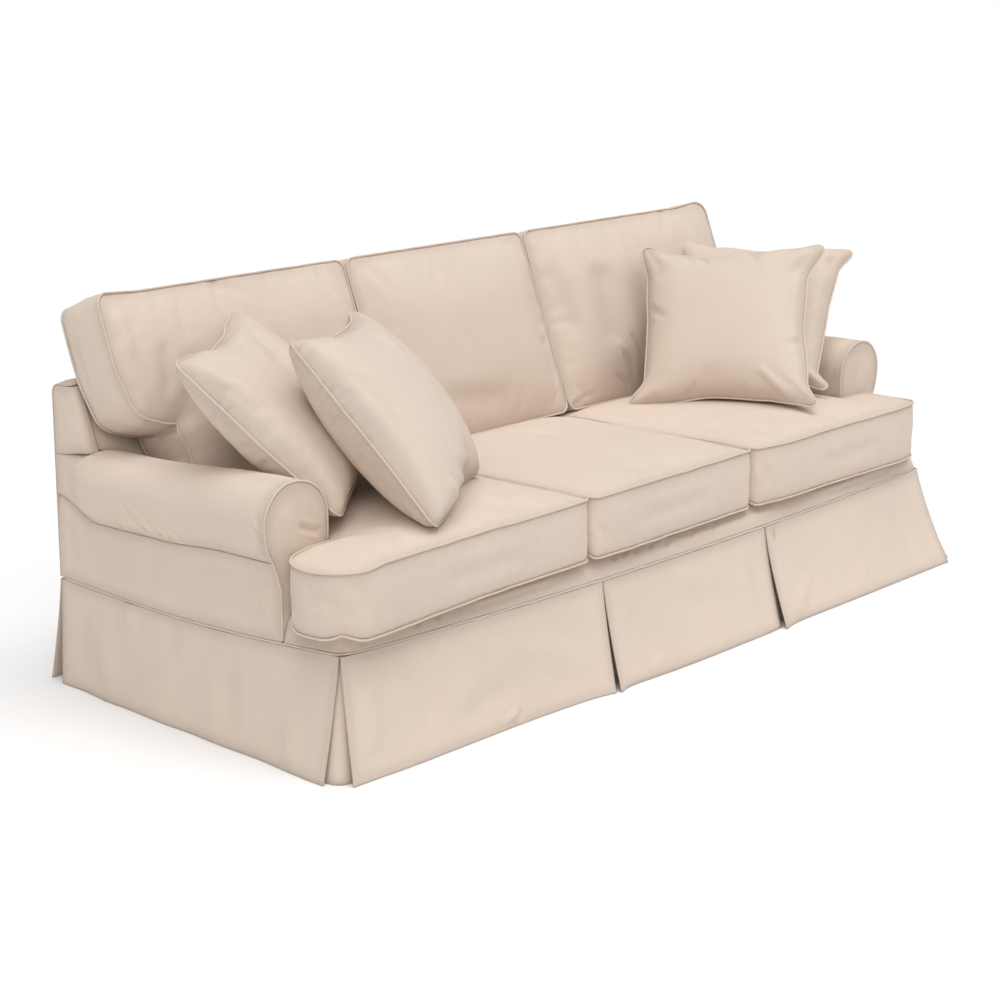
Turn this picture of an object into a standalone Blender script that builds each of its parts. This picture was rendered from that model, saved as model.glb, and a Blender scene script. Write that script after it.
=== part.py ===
"""Tailored slipcover of a three seat roll arm sofa, with its cushion covers and four pillow covers.

X runs along the sofa, the front faces -Y and Z is up. The origin is on the floor, at the middle of the
cover's outline. Depths are measured back from the front rail. The body cover is hollow sheet cloth, open
below, and every cushion and pillow is one filled solid with its welts around it.
"""

import math

import bmesh
import bpy
from mathutils import Euler, Vector

# Cloth, welt and the clearance between neighbouring pieces
CLOTH = 0.002
WELT_RADIUS = 0.0025
GAP = 0.0004
WELT_REACH = WELT_RADIUS + GAP

# Rail: the closed line, sewn with a welt, that the skirt hangs from
FRONT_Y = -0.3885
RAIL_HALF = 1.067
RAIL_DEPTH = 0.855
RAIL_CORNER = 0.02
SEAM_HEIGHT = 0.241
SEAM_FRONT_BULGE = 0.034
SEAM_FRONT_SAG = 0.009
SEAM_ARCH_POWER = 0.7
SEAM_SIDE_SAG = 0.016
BAND_SWELL = 0.004
BAND_CURVE = 1.3
BAND_MIDDLE_DEPTH = 0.09
FRONT_STEPS = 20
SIDE_STEPS = 9
BACK_STEPS = 10
CORNER_STEPS = 3

# Deck under the seat cushions, and the shelf in front of the arms
DECK_TOP = 0.2885
INNER_HALF = 0.937
FACING_DEPTH = 0.16

# Frame back
BACK_TOP = 0.677
BACK_TOP_FRONT = 0.801
BACK_ROUND = 0.02
ROUND_STEPS = 3
OUTSIDE_BACK_HEIGHTS = (0.40, 0.55)
BACK_TOP_LAP = 0.004
LEAN = math.radians(20.5)
SHOULDER_REACH = 0.045
SHOULDER_DEPTH = 0.72
SHOULDER_START = 0.60
BACK_BELLY = 0.006

# Arm roll section at the facing, measured from the middle of the scroll
SCROLL_X = 1.028
SCROLL_Z = 0.478
SCROLL_OUT = 0.082
SCROLL_IN = 0.0915
SCROLL_UP = 0.081
SCROLL_DOWN = 0.11
UNDER_ROLL = 0.402
ROLL_DIP = 0.014
ROLL_DIP_START = 0.30
ROLL_DIP_END = 0.50
ROLL_RISE = 0.028
ROLL_RISE_POWER = 1.6
ROLL_SAG = 0.024
ROLL_SAG_START = 0.20
ROLL_SAG_END = 0.66
ROLL_TAPER_START = 0.70
ROLL_END_OUT = 0.004
ROLL_END_UP = 0.047
ROLL_END_DOWN = 0.075
ROLL_ANGLE_STEPS = 9
ROLL_DOWN_STEPS = 2
ROLL_POST_STEPS = 4
ROLL_POST_ANGLE = math.radians(117.0)
POST_BLEND_START = 0.745
ARM_START = FACING_DEPTH + WELT_REACH
ARM_END = RAIL_DEPTH - 0.5 * CLOTH - 3.0 * GAP
FIT_ROUNDS = 5

# Seam between the roll and the side panel of the back, at the panel's front and at its rear edge
POST_JOIN = 0.531
POST_JOIN_BACK = 0.518

# Lower edge of the inside back over the arm roll: (distance out, how far it laps below the roll's end)
NOTCH = ((0.945, 0.004), (0.960, 0.004), (0.985, 0.004), (1.010, 0.004), (1.024, 0.004), (1.031, -0.004))
NOTCH_END = 0.003

# Facing and outer arm
NECK_HEIGHT = 0.34
CURL_HEIGHT = 0.055
CURL_POWER = 1.4
FACING_STEPS = 12
FACING_FOOT_ROOM = 0.001
OUTER_ARM_STEPS = 4

# Skirt: hem flare at a few places along each side, as (place along the side, distance out)
HEM_HEIGHT = 0.0006
HEM_DROP_POWER = 1.25
PLEAT_LEFT = -0.285
PLEAT_RIGHT = 0.332
PANEL_END = 0.002
PANEL_STEPS = 6
SKIRT_ROWS = 3
FLAP_SHARE = 0.12
FRONT_HEM = ((-1.067, 0.078), (-0.87, 0.084), (-0.60, 0.084), (0.0, 0.112), (0.55, 0.108), (1.067, 0.104))
LEFT_HEM = ((0.0, 0.079), (0.25, 0.056), (0.45, 0.043), (0.66, 0.028), (0.80, 0.012), (0.855, 0.010))
RIGHT_HEM = ((0.0, 0.074), (0.25, 0.062), (0.45, 0.048), (0.66, 0.034), (0.80, 0.020), (0.855, 0.014))
BACK_HEM = ((-1.067, 0.048), (-0.5, 0.038), (0.0, 0.046), (0.5, 0.040), (1.067, 0.048))
SKIRT_END_GAP = 0.003
LEFT_FRONT_REACH = 0.031
RIGHT_FRONT_REACH = 0.012
FRONT_REACH_POWER = 3

# Front panels: name, left and right end, how far each lower corner moves along x and points out
FRONT_PANELS = (
    ("skirt_front_left", -RAIL_HALF, PLEAT_LEFT, -0.047, -0.044, 0.0, 0.010),
    ("skirt_front_centre", PLEAT_LEFT, PLEAT_RIGHT, -0.030, -0.024, 0.023, -0.005),
    ("skirt_front_right", PLEAT_RIGHT, RAIL_HALF, -0.029, 0.004, 0.020, 0.0),
)

# Cloth behind the front pleats: name, place of the pleat and how far its hem moves along x
FRONT_UNDERLAYS = (
    ("underlay_front_left", PLEAT_LEFT, -0.040),
    ("underlay_front_right", PLEAT_RIGHT, -0.022),
)
UNDERLAY_REACH = 0.085
UNDERLAY_SPREAD = 1.5
UNDERLAY_STEPS = 4
FRONT_UNDERLAY_BEHIND = 0.035

# Cloth behind the corner pleats
CORNER_UNDERLAY_SIDE = 0.016
CORNER_UNDERLAY_BEHIND = 0.021
CORNER_UNDERLAY_REACH = 0.075
CORNER_UNDERLAY_ROUND = 0.03
CORNER_UNDERLAY_STEPS = 6
CORNER_TURN = 0.25

# Seat cushions: name, left and right edge of the body, far edge of the lobe in front of the arm and
# the radius of its front and back corner
SEAT_ROWS = (
    ("seat_left", -0.925, -0.3265, -1.098, 0.072, 0.085),
    ("seat_centre", -0.3130, 0.2890, None, 0.0, 0.0),
    ("seat_right", 0.3025, 0.925, 1.034, 0.035, 0.055),
)
SEAT_CORNER = 0.02

# How far the front edges bow forward, as (place along the sofa, distance)
SEAT_BOW = (
    (-1.098, 0.008), (-1.03, 0.022), (-0.82, 0.012), (-0.60, 0.008), (-0.34, 0.004), (-0.20, 0.007),
    (0.0, 0.001), (0.28, -0.005), (0.44, 0.006), (0.62, 0.0), (0.92, 0.0), (1.034, -0.012),
)
SEAT_BOW_BACK = 0.12
SEAT_DROOP = 0.013
SEAT_DROOP_START = 0.97
SEAT_FRONT = -0.026
SEAT_BACK = 0.640
LOBE_BACK = 0.150
SEAT_BOTTOM = 0.2975
SEAT_EDGE = 0.421
SEAT_CROWN = 0.034
SEAT_REST = 0.2893
SEAT_REST_REACH = 0.07
SEAT_CROWN_REACH = 0.26
CUSHION_BELLY = 0.004
CROWN_POWER = 0.8
CORNER_MARK = 0.45
CUSHION_STEPS = 4
MARK_ROOM = 0.012
MITRE_LIMIT = 0.6

# Back cushions: name, left and right edge of the body, far edge of the ear over the arm and the
# radius of its lower and upper corner
BACK_ROWS = (
    ("back_left", -0.9305, -0.3255, -1.052, 0.035, 0.028),
    ("back_centre", -0.3160, 0.3060, None, 0.0, 0.0),
    ("back_right", 0.3155, 0.9305, 1.082, 0.035, 0.045),
)
BACK_CORNER = 0.024
BACK_FOOT_DEPTH = 0.5535
BACK_FOOT_HEIGHT = 0.4345
BACK_FOOT_ROOM = 0.0029
BACK_CUSHION_HEIGHT = 0.463
BACK_CUSHION_THICKNESS = 0.134
BACK_CROWN = 0.040
BACK_CROWN_REACH = 0.17
BACK_REAR_DISH = 0.006
BACK_REAR_REACH = 0.06
EAR_BOTTOM = 0.196
EAR_DRAW = 0.020
EAR_DRAW_TOP = 0.33
EAR_RISE = 0.007
EAR_BLEND = 0.02
WAIST_DRAW = 0.026
WAIST_MIDDLE = 0.085
WAIST_HALF = 0.085
WAIST_REACH = 0.12

# Pillows: name, middle as (x, depth, height), turn about x, y and z in degrees, half thickness
PILLOW_ROWS = (
    ("pillow_left_rear", (-0.8133, 0.395, 0.6275), (43.7, -4.2, 33.1), 0.066),
    ("pillow_left_front", (-0.672, 0.233, 0.6313), (50.8, 1.0, 29.3), 0.078),
    ("pillow_right_rear", (0.848, 0.3781, 0.6286), (40.5, 0.2, -65.3), 0.078),
    ("pillow_right_front", (0.649, 0.316, 0.6336), (49.7, -2.2, -60.5), 0.078),
)
PILLOW_SIDE = 0.47
PILLOW_EDGE_DRAW = 0.07
PILLOW_FILL_POWER = 0.46
PILLOW_STEPS = 8

# Colours as (red, green, blue)
COTTON = (0.735, 0.640, 0.530)
WELT_COTTON = (0.700, 0.600, 0.490)
SHADED_COTTON = (0.660, 0.560, 0.450)
COTTON_ROUGHNESS = 0.92
SHARP_ANGLE = math.radians(40.0)


def place(x, depth, height):
    """Point in the part's frame, from its depth behind the front rail."""
    return Vector((x, FRONT_Y + depth, height))


def make_material(name, colour):
    """Plain cotton in one colour."""
    material = bpy.data.materials.new(name)
    material.use_nodes = True
    shader = material.node_tree.nodes["Principled BSDF"]
    shader.inputs["Base Color"].default_value = (*colour, 1.0)
    shader.inputs["Roughness"].default_value = COTTON_ROUGHNESS
    shader.inputs["Metallic"].default_value = 0.0
    material.diffuse_color = (*colour, 1.0)
    return material


def add_object(name, data, colour):
    """Link a mesh or curve to the scene under its own name and material."""
    item = bpy.data.objects.new(name, data)
    bpy.context.collection.objects.link(item)
    data.materials.append(make_material(name + "_cotton", colour))
    return item


def mesh_object(name, shape, colour):
    """Turn a bmesh into a smooth shaded object."""
    mesh = bpy.data.meshes.new(name)
    shape.to_mesh(mesh)
    shape.free()
    mesh.shade_smooth()
    mesh.set_sharp_from_angle(angle=SHARP_ANGLE)
    return add_object(name, mesh, colour)


def sheet(name, steps_along, steps_down, surface, colour=COTTON):
    """Cloth sheet on surface(u, v), with u and v from 0 to 1, thickened to both sides."""
    shape = bmesh.new()
    bmesh.ops.create_grid(shape, x_segments=steps_along, y_segments=steps_down, size=0.5)
    for vertex in shape.verts:
        vertex.co = surface(vertex.co.x + 0.5, vertex.co.y + 0.5)
    item = mesh_object(name, shape, colour)
    thicken = item.modifiers.new("cloth", "SOLIDIFY")
    thicken.thickness = CLOTH
    thicken.offset = 0.0
    return item


def flat_panel(name, outline, through, colour=COTTON):
    """Flat cloth panel: an outline of points, pushed through by a vector."""
    shape = bmesh.new()
    face = shape.faces.new([shape.verts.new(point) for point in outline])
    pushed = bmesh.ops.extrude_face_region(shape, geom=[face])
    moved = [item for item in pushed["geom"] if isinstance(item, bmesh.types.BMVert)]
    bmesh.ops.translate(shape, verts=moved, vec=through)
    bmesh.ops.recalc_face_normals(shape, faces=shape.faces)
    return mesh_object(name, shape, colour)


def welt(name, path, closed):
    """Covered cord along a path of points."""
    curve = bpy.data.curves.new(name, "CURVE")
    curve.dimensions = "3D"
    curve.bevel_depth = WELT_RADIUS
    curve.bevel_resolution = 1
    curve.use_fill_caps = True
    spline = curve.splines.new("POLY")
    spline.points.add(len(path) - 1)
    for point, position in zip(spline.points, path):
        point.co = (*position, 1.0)
    spline.use_cyclic_u = closed
    return add_object(name, curve, WELT_COTTON)


def between(value, table):
    """Read a table of (place, amount) pairs, smoothed between its rows."""
    if value <= table[0][0]:
        return table[0][1]
    for (low, start), (high, end) in zip(table, table[1:]):
        if value <= high:
            share = (value - low) / (high - low)
            return start + (end - start) * share * share * (3.0 - 2.0 * share)
    return table[-1][1]


def ease(value, low, high):
    """Smooth rise from 0 at low to 1 at high."""
    share = min(1.0, max(0.0, (value - low) / (high - low)))
    return share * share * (3.0 - 2.0 * share)


# Rail line ------------------------------------------------------------------------------------------


def front_seam(x):
    """Front stretch of the rail line: it bows forward and sags between the corners."""
    arch = math.cos(0.5 * math.pi * x / RAIL_HALF) ** SEAM_ARCH_POWER if abs(x) < RAIL_HALF else 0.0
    return Vector((x, -SEAM_FRONT_BULGE * arch, SEAM_HEIGHT - SEAM_FRONT_SAG * arch))


def side_seam(side, depth):
    """Left (-1) or right (1) stretch of the rail line."""
    share = (depth - RAIL_CORNER) / (RAIL_DEPTH - 2.0 * RAIL_CORNER)
    arch = math.sin(math.pi * min(1.0, max(0.0, share)))
    return Vector((side * RAIL_HALF, depth, SEAM_HEIGHT - SEAM_SIDE_SAG * arch))


def corner_points(side, front):
    """Points of a rounded rail corner, from the side stretch to the front or back stretch."""
    centre_depth = RAIL_CORNER if front else RAIL_DEPTH - RAIL_CORNER
    outward = -1.0 if front else 1.0
    points = []
    for step in range(CORNER_STEPS + 1):
        angle = 0.5 * math.pi * step / CORNER_STEPS
        x = side * (RAIL_HALF - RAIL_CORNER + RAIL_CORNER * math.cos(angle))
        depth = centre_depth + outward * RAIL_CORNER * math.sin(angle)
        points.append(Vector((x, depth, SEAM_HEIGHT)))
    return points


def front_stretch():
    """Rail line across the front between its two corners."""
    reach = RAIL_HALF - RAIL_CORNER
    return [front_seam(reach * (2.0 * step / FRONT_STEPS - 1.0)) for step in range(1, FRONT_STEPS)]


def side_places(start, end):
    """Depths between two ends at which every piece along a side has its points."""
    length = RAIL_DEPTH - 2.0 * RAIL_CORNER
    shared = [RAIL_CORNER + length * step / SIDE_STEPS for step in range(SIDE_STEPS + 1)]
    return [start] + [depth for depth in shared if start + GAP < depth < end - GAP] + [end]


def side_stretch(side, start, end):
    """Rail line along one side between two depths."""
    return [side_seam(side, depth) for depth in side_places(start, end)]


def band_line():
    """Rail line from the left facing, round the front, to the right facing."""
    end = FACING_DEPTH - WELT_REACH - GAP
    left = [side_seam(-1, depth) for depth in (end, BAND_MIDDLE_DEPTH)]
    right = [side_seam(1, depth) for depth in (BAND_MIDDLE_DEPTH, end)]
    return left + corner_points(-1, True) + front_stretch() + corner_points(1, True)[::-1] + right


def whole_rail():
    """Closed rail line that carries the skirt's welt."""
    left = side_stretch(-1, RAIL_CORNER, RAIL_DEPTH - RAIL_CORNER)[-2:0:-1]
    right = side_stretch(1, RAIL_CORNER, RAIL_DEPTH - RAIL_CORNER)[1:-1]
    reach = RAIL_HALF - RAIL_CORNER
    back = [
        Vector((reach * (1.0 - 2.0 * step / BACK_STEPS), RAIL_DEPTH, SEAM_HEIGHT))
        for step in range(1, BACK_STEPS)
    ]
    front_left = corner_points(-1, True)
    front_right = corner_points(1, True)[::-1]
    back_right = corner_points(1, False)
    back_left = corner_points(-1, False)[::-1]
    return left + front_left + front_stretch() + front_right + right + back_right + back + back_left


def point_on(line, share):
    """Point at a share of a line's steps."""
    index = min(len(line) - 2, int(share * (len(line) - 1)))
    return line[index].lerp(line[index + 1], share * (len(line) - 1) - index)


# Body cover -----------------------------------------------------------------------------------------


def inside_back_depth(height):
    """Depth of the inside back's face at a height."""
    return BACK_TOP_FRONT - (BACK_TOP - height) * math.tan(LEAN)


def build_front_band():
    """Band between the deck's front edge and the skirt's welt, wrapped round both front corners."""
    line = band_line()

    def surface(along, down):
        foot = point_on(line, along)
        foot_height = foot.z + WELT_REACH
        edge_depth = max(foot.y, 0.0)
        if abs(foot.x) < RAIL_HALF - RAIL_CORNER:
            edge_depth = 0.0
        swelling = BAND_SWELL * math.sin(math.pi * down) if foot.y < 0.0 else 0.0
        depth = edge_depth + (foot.y - edge_depth) * down ** BAND_CURVE - swelling
        return place(foot.x, depth, DECK_TOP + (foot_height - DECK_TOP) * down)

    sheet("front_band", len(line) - 1, 2, surface)


def build_deck():
    """Flat cloth under the seat cushions, with a shelf in front of each arm."""
    inset = 0.5 * CLOTH + GAP
    corner = RAIL_HALF - RAIL_CORNER
    inner = INNER_HALF - inset
    shelf_back = FACING_DEPTH - WELT_REACH - GAP
    back = inside_back_depth(DECK_TOP) - 0.5 * CLOTH - 3.0 * GAP
    edge = RAIL_HALF - inset
    half = [(inner, back), (inner, shelf_back), (edge, shelf_back), (edge, RAIL_CORNER)]
    radius = RAIL_CORNER - inset
    for step in (1, 2):
        angle = math.pi * step / 6.0
        half.append((corner + radius * math.cos(angle), RAIL_CORNER - radius * math.sin(angle)))
    half.append((corner, inset))
    outline = half + [(-x, depth) for x, depth in reversed(half)]
    points = [place(x, depth, DECK_TOP - CLOTH) for x, depth in outline]
    flat_panel("deck", points, Vector((0.0, 0.0, CLOTH)), SHADED_COTTON)


def notch_height(x, lap):
    """Lower edge of the inside back's wide part, which laps below the end of the arm roll."""
    height = SCROLL_Z + ROLL_END_UP
    for _ in range(FIT_ROUNDS):
        depth = inside_back_depth(height)
        reach = SCROLL_IN if x < SCROLL_X else roll_reach(depth)[0]
        share = max(0.0, 1.0 - ((x - SCROLL_X) / reach) ** 2)
        height = SCROLL_Z + roll_reach(depth)[1] * math.sqrt(share) - lap
    return height


def build_inside_back():
    """Slanted cloth behind the back cushions, wider above the arms."""
    narrow = INNER_HALF - 0.5 * CLOTH - 2.0 * GAP
    wide = RAIL_HALF - CLOTH - 2.0 * GAP
    top = BACK_TOP - 0.5 * CLOTH - 2.0 * GAP
    half = [(narrow, DECK_TOP - CLOTH), (narrow, notch_height(narrow, NOTCH[0][1]))]
    half += [(x, notch_height(x, lap)) for x, lap in NOTCH]
    half += [(wide, POST_JOIN + NOTCH_END), (wide, top)]
    outline = half + [(-x, height) for x, height in reversed(half)]
    points = [place(x, inside_back_depth(height), height) for x, height in outline]
    through = Vector((0.0, math.cos(LEAN) * CLOTH, -math.sin(LEAN) * CLOTH))
    flat_panel("inside_back", points, through, SHADED_COTTON)


def shoulder(x):
    """Drop of the back's top edge as it rounds over at each end."""
    share = ease(abs(x), RAIL_HALF - SHOULDER_REACH, RAIL_HALF)
    return BACK_ROUND * (1.0 - math.sqrt(1.0 - SHOULDER_DEPTH * share * share))


def build_outside_back():
    """Cloth from the skirt's welt up the back and over its rounded top."""
    profile = [(RAIL_DEPTH, SEAM_HEIGHT + WELT_REACH)]
    profile += [(RAIL_DEPTH, height) for height in OUTSIDE_BACK_HEIGHTS]
    for step in range(ROUND_STEPS + 1):
        angle = 0.5 * math.pi * step / ROUND_STEPS
        depth = RAIL_DEPTH - BACK_ROUND + BACK_ROUND * math.cos(angle)
        profile.append((depth, BACK_TOP - BACK_ROUND + BACK_ROUND * math.sin(angle)))
    profile.append((BACK_TOP_FRONT + BACK_TOP_LAP, BACK_TOP))
    line = [Vector((0.0, depth, height)) for depth, height in profile]

    def surface(along, down):
        x = RAIL_HALF * (2.0 * along - 1.0)
        point = point_on(line, 1.0 - down)
        drop_over = ease(point.z, SHOULDER_START, BACK_TOP) * shoulder(x)
        rise = min(1.0, (point.z - SEAM_HEIGHT) / (BACK_TOP - SEAM_HEIGHT))
        belly = BACK_BELLY * math.sin(math.pi * along) * math.sin(math.pi * rise)
        return place(x, point.y + belly, point.z - drop_over)

    sheet("outside_back", BACK_STEPS + 2, len(line) - 1, surface)


def post_join(depth):
    """Height at which the arm roll's cloth meets the back's side panel."""
    share = ease(depth, inside_back_depth(POST_JOIN), RAIL_DEPTH)
    return POST_JOIN + (POST_JOIN_BACK - POST_JOIN) * share


def build_back_side(side, name):
    """Side panel of the frame back, above the arm."""
    inset = 0.5 * CLOTH + 2.0 * GAP
    back = RAIL_DEPTH - inset
    radius = BACK_ROUND - inset
    front_low = inside_back_depth(POST_JOIN) + CLOTH
    middle = 0.5 * (front_low + back)
    outline = [(front_low, POST_JOIN), (middle, post_join(middle)), (back, post_join(back))]
    for step in range(ROUND_STEPS + 1):
        angle = 0.5 * math.pi * step / ROUND_STEPS
        height = BACK_TOP - BACK_ROUND + radius * math.sin(angle)
        drop_over = ease(height, SHOULDER_START, BACK_TOP) * shoulder(RAIL_HALF)
        outline.append((RAIL_DEPTH - BACK_ROUND + radius * math.cos(angle), height - drop_over))
    top = outline[-1][1]
    outline.append((inside_back_depth(top) + CLOTH, top))
    x = side * (RAIL_HALF - CLOTH)
    points = [place(x, depth, height) for depth, height in outline]
    flat_panel(name, points, Vector((side * CLOTH, 0.0, 0.0)))


# Arms -----------------------------------------------------------------------------------------------


def under_roll(depth):
    """Height of the seam under the roll: it dips along the arm and rises to the back."""
    dip = ROLL_DIP * ease(depth, ROLL_DIP_START, ROLL_DIP_END)
    rise = (ROLL_RISE + ROLL_DIP) * ease(depth, ROLL_TAPER_START, RAIL_DEPTH) ** ROLL_RISE_POWER
    return UNDER_ROLL - dip + rise


def roll_reach(depth, grow=0.0):
    """How far the roll's section reaches out, up and down from its middle at a depth."""
    taper = ease(depth, ROLL_TAPER_START, RAIL_DEPTH)
    sag = ROLL_SAG * ease(depth, ROLL_SAG_START, ROLL_SAG_END)
    out = (SCROLL_OUT + grow) * (1.0 - taper) + (RAIL_HALF - SCROLL_X + ROLL_END_OUT) * taper
    up = (SCROLL_UP - sag + grow) * (1.0 - taper) + ROLL_END_UP * taper
    down = (SCROLL_DOWN + grow) * (1.0 - taper) + ROLL_END_DOWN * taper
    return out, up, down


def scroll_point(angle, depth, grow=0.0):
    """Point (x, height) of the left roll's section, for an angle from 0 inside to 180 outside."""
    out, up, down = roll_reach(depth, grow)
    reach = out if math.cos(angle) < 0.0 else SCROLL_IN + grow
    rise = up if math.sin(angle) > 0.0 else down
    return -SCROLL_X + reach * math.cos(angle), SCROLL_Z + rise * math.sin(angle)


def seam_angle(depth, lift):
    """Angle of the roll's section at the seam under it."""
    down = roll_reach(depth)[2]
    return math.pi + math.asin(min(1.0, (SCROLL_Z - under_roll(depth) - lift) / down))


def roll_end(step):
    """Depth at which each line of the roll's cloth ends: at the back's edge, or at the inside back."""
    if step <= ROLL_POST_STEPS:
        return ARM_END
    depth = ROLL_TAPER_START
    for _ in range(FIT_ROUNDS):
        _, height = scroll_point(roll_angle(step, depth), depth)
        depth = inside_back_depth(height) - 0.5 * CLOTH - 3.0 * GAP
    return depth


def roll_angle(step, depth):
    """Angle of one line of the roll's cloth at a depth."""
    start = seam_angle(depth, 0.5 * CLOTH + GAP)
    if step <= ROLL_POST_STEPS:
        return start + (ROLL_POST_ANGLE - start) * step / ROLL_POST_STEPS
    return ROLL_POST_ANGLE * (ROLL_ANGLE_STEPS - step) / (ROLL_ANGLE_STEPS - ROLL_POST_STEPS)


def beside_post(x, height, depth, step):
    """Outer lines of the roll's cloth flatten against the side of the frame back."""
    flat = ease(depth, POST_BLEND_START, RAIL_DEPTH)
    low = under_roll(depth) + 0.5 * CLOTH + GAP
    high = post_join(depth) - 0.5 * CLOTH
    flat_height = low + (high - low) * step / ROLL_POST_STEPS
    return x + (-RAIL_HALF - x) * flat, height + (flat_height - height) * flat


def build_arm_roll(side, name):
    """Cloth from the seam under the roll, over the arm and down its inside to the deck."""
    total = ROLL_ANGLE_STEPS + ROLL_DOWN_STEPS
    places = side_places(ARM_START, ARM_END)
    shares = [(depth - ARM_START) / (ARM_END - ARM_START) for depth in places]

    def surface(along, around):
        step = round(around * total)
        share_back = shares[round(along * (len(shares) - 1))]
        if step <= ROLL_ANGLE_STEPS:
            depth = ARM_START + (roll_end(step) - ARM_START) * share_back
            x, height = scroll_point(roll_angle(step, depth), depth)
            if step <= ROLL_POST_STEPS:
                x, height = beside_post(x, height, depth, step)
        else:
            share = (step - ROLL_ANGLE_STEPS) / ROLL_DOWN_STEPS
            height = SCROLL_Z + (DECK_TOP + 2.0 * GAP - SCROLL_Z) * share
            end = inside_back_depth(height) - 0.5 * CLOTH - 3.0 * GAP
            depth = ARM_START + (end - ARM_START) * share_back
            x = -(SCROLL_X - SCROLL_IN)
        return place(-side * x, depth, height)

    sheet(name, len(places) - 1, total, surface)


def outer_arm_x(height, depth):
    """Distance out of the outer arm's cloth, which curls out to meet the roll."""
    seam_x, _ = scroll_point(seam_angle(depth, 0.0), depth)
    share = ease(height, under_roll(depth) - CURL_HEIGHT, under_roll(depth)) ** CURL_POWER
    return RAIL_HALF + (-seam_x - RAIL_HALF) * share


def build_outer_arm(side, name):
    """Cloth from the skirt's welt up to the seam under the roll."""
    line = side_stretch(side, ARM_START, ARM_END)

    def surface(along, up):
        foot = point_on(line, along)
        low = foot.z + WELT_REACH
        height = low + (under_roll(foot.y) - GAP - low) * up
        return place(side * outer_arm_x(height, foot.y), foot.y, height)

    sheet(name, len(line) - 1, OUTER_ARM_STEPS, surface)


def facing_outline(inset):
    """Outline (x, height) of the left arm's scroll facing, from its outer foot over the top."""
    depth = FACING_DEPTH
    foot = side_seam(-1, depth).z + WELT_REACH
    points = [(-RAIL_HALF + inset, foot + FACING_FOOT_ROOM), (-RAIL_HALF + inset, NECK_HEIGHT)]
    start = seam_angle(depth, 0.0)
    for step in range(FACING_STEPS + 1):
        angle = start * (1.0 - step / FACING_STEPS)
        points.append(scroll_point(angle, depth, -inset))
    points.append((-(SCROLL_X - SCROLL_IN) - inset, DECK_TOP + 2.0 * WELT_REACH))
    return points


def build_facing(side, name):
    """Scroll shaped front of the arm and the welt sewn round it."""
    shape = facing_outline(WELT_REACH)
    shape.append((-INNER_HALF - WELT_REACH, shape[0][1]))
    depth = FACING_DEPTH - 0.5 * CLOTH
    points = [place(-side * x, depth, height) for x, height in shape]
    flat_panel("facing_" + name, points, Vector((0.0, CLOTH, 0.0)))
    path = [place(-side * x, FACING_DEPTH, height) for x, height in facing_outline(0.0)]
    path[0].z += 0.5 * WELT_REACH
    welt("welt_facing_" + name, path, False)


# Skirt ----------------------------------------------------------------------------------------------


def drop(top, hem, down):
    """Point of a hanging panel: steep at the seam and flaring to the hem."""
    flare = down ** HEM_DROP_POWER
    return Vector((
        top.x + (hem.x - top.x) * flare,
        top.y + (hem.y - top.y) * flare,
        top.z + (hem.z - top.z) * down,
    ))


def hang(name, steps, top_line, hem_line, colour=COTTON):
    """Skirt panel between a line just under the welt and its hem."""

    def surface(along, down):
        top = top_line(along)
        top.z -= WELT_REACH
        point = drop(top, hem_line(along), down)
        return place(*point)

    sheet(name, steps, SKIRT_ROWS, surface, colour)


def flap(along, left_tip, right_tip):
    """Extra flare of a panel's two lower corners, which point outwards beside a pleat."""
    left = max(0.0, 1.0 - along / FLAP_SHARE)
    right = max(0.0, 1.0 - (1.0 - along) / FLAP_SHARE)
    return left_tip * left * left + right_tip * right * right


def build_front_panel(name, left, right, left_move, right_move, left_tip, right_tip):
    """One front panel of the skirt, between two pleats."""

    start = left + PANEL_END
    width = right - left - 2.0 * PANEL_END

    def top_line(along):
        return front_seam(start + width * along)

    def hem_line(along):
        x = start + width * along
        out = between(x, FRONT_HEM) + flap(along, left_tip, right_tip)
        return Vector((x + left_move + (right_move - left_move) * along, -out, HEM_HEIGHT))

    hang(name, PANEL_STEPS, top_line, hem_line)


def build_side_skirt(side, name, table, front_reach):
    """Side panel of the skirt, its front corner carried a little past the rail's corner."""
    line = side_stretch(side, SKIRT_END_GAP, RAIL_DEPTH - SKIRT_END_GAP)

    def top_line(along):
        return point_on(line, along)

    def hem_line(along):
        depth = point_on(line, along).y
        out = between(depth, table)
        forward = front_reach * (1.0 - along) ** FRONT_REACH_POWER
        return Vector((side * (RAIL_HALF + out), depth - forward, HEM_HEIGHT))

    hang(name, len(line) - 1, top_line, hem_line)


def build_back_skirt():
    """Back panel of the skirt, with flaring ends."""
    reach = RAIL_HALF - PANEL_END

    def top_line(along):
        return Vector((reach * (2.0 * along - 1.0), RAIL_DEPTH + 2.0 * GAP, SEAM_HEIGHT))

    def hem_line(along):
        x = reach * (2.0 * along - 1.0)
        return Vector((x, RAIL_DEPTH + between(x, BACK_HEM), HEM_HEIGHT))

    hang("skirt_back", BACK_STEPS, top_line, hem_line)


def build_front_underlay(name, middle, hem_shift):
    """Cloth behind a front pleat, set back so that the pleat reads as a dark slit."""

    def top_line(along):
        x = middle + UNDERLAY_REACH * (along - 0.5)
        point = front_seam(x)
        return Vector((x, point.y + CLOTH + GAP, point.z))

    def hem_line(along):
        x = middle + hem_shift + UNDERLAY_SPREAD * UNDERLAY_REACH * (along - 0.5)
        out = between(middle, FRONT_HEM) - FRONT_UNDERLAY_BEHIND
        return Vector((x, -out, HEM_HEIGHT))

    hang(name, UNDERLAY_STEPS, top_line, hem_line, SHADED_COTTON)


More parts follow.
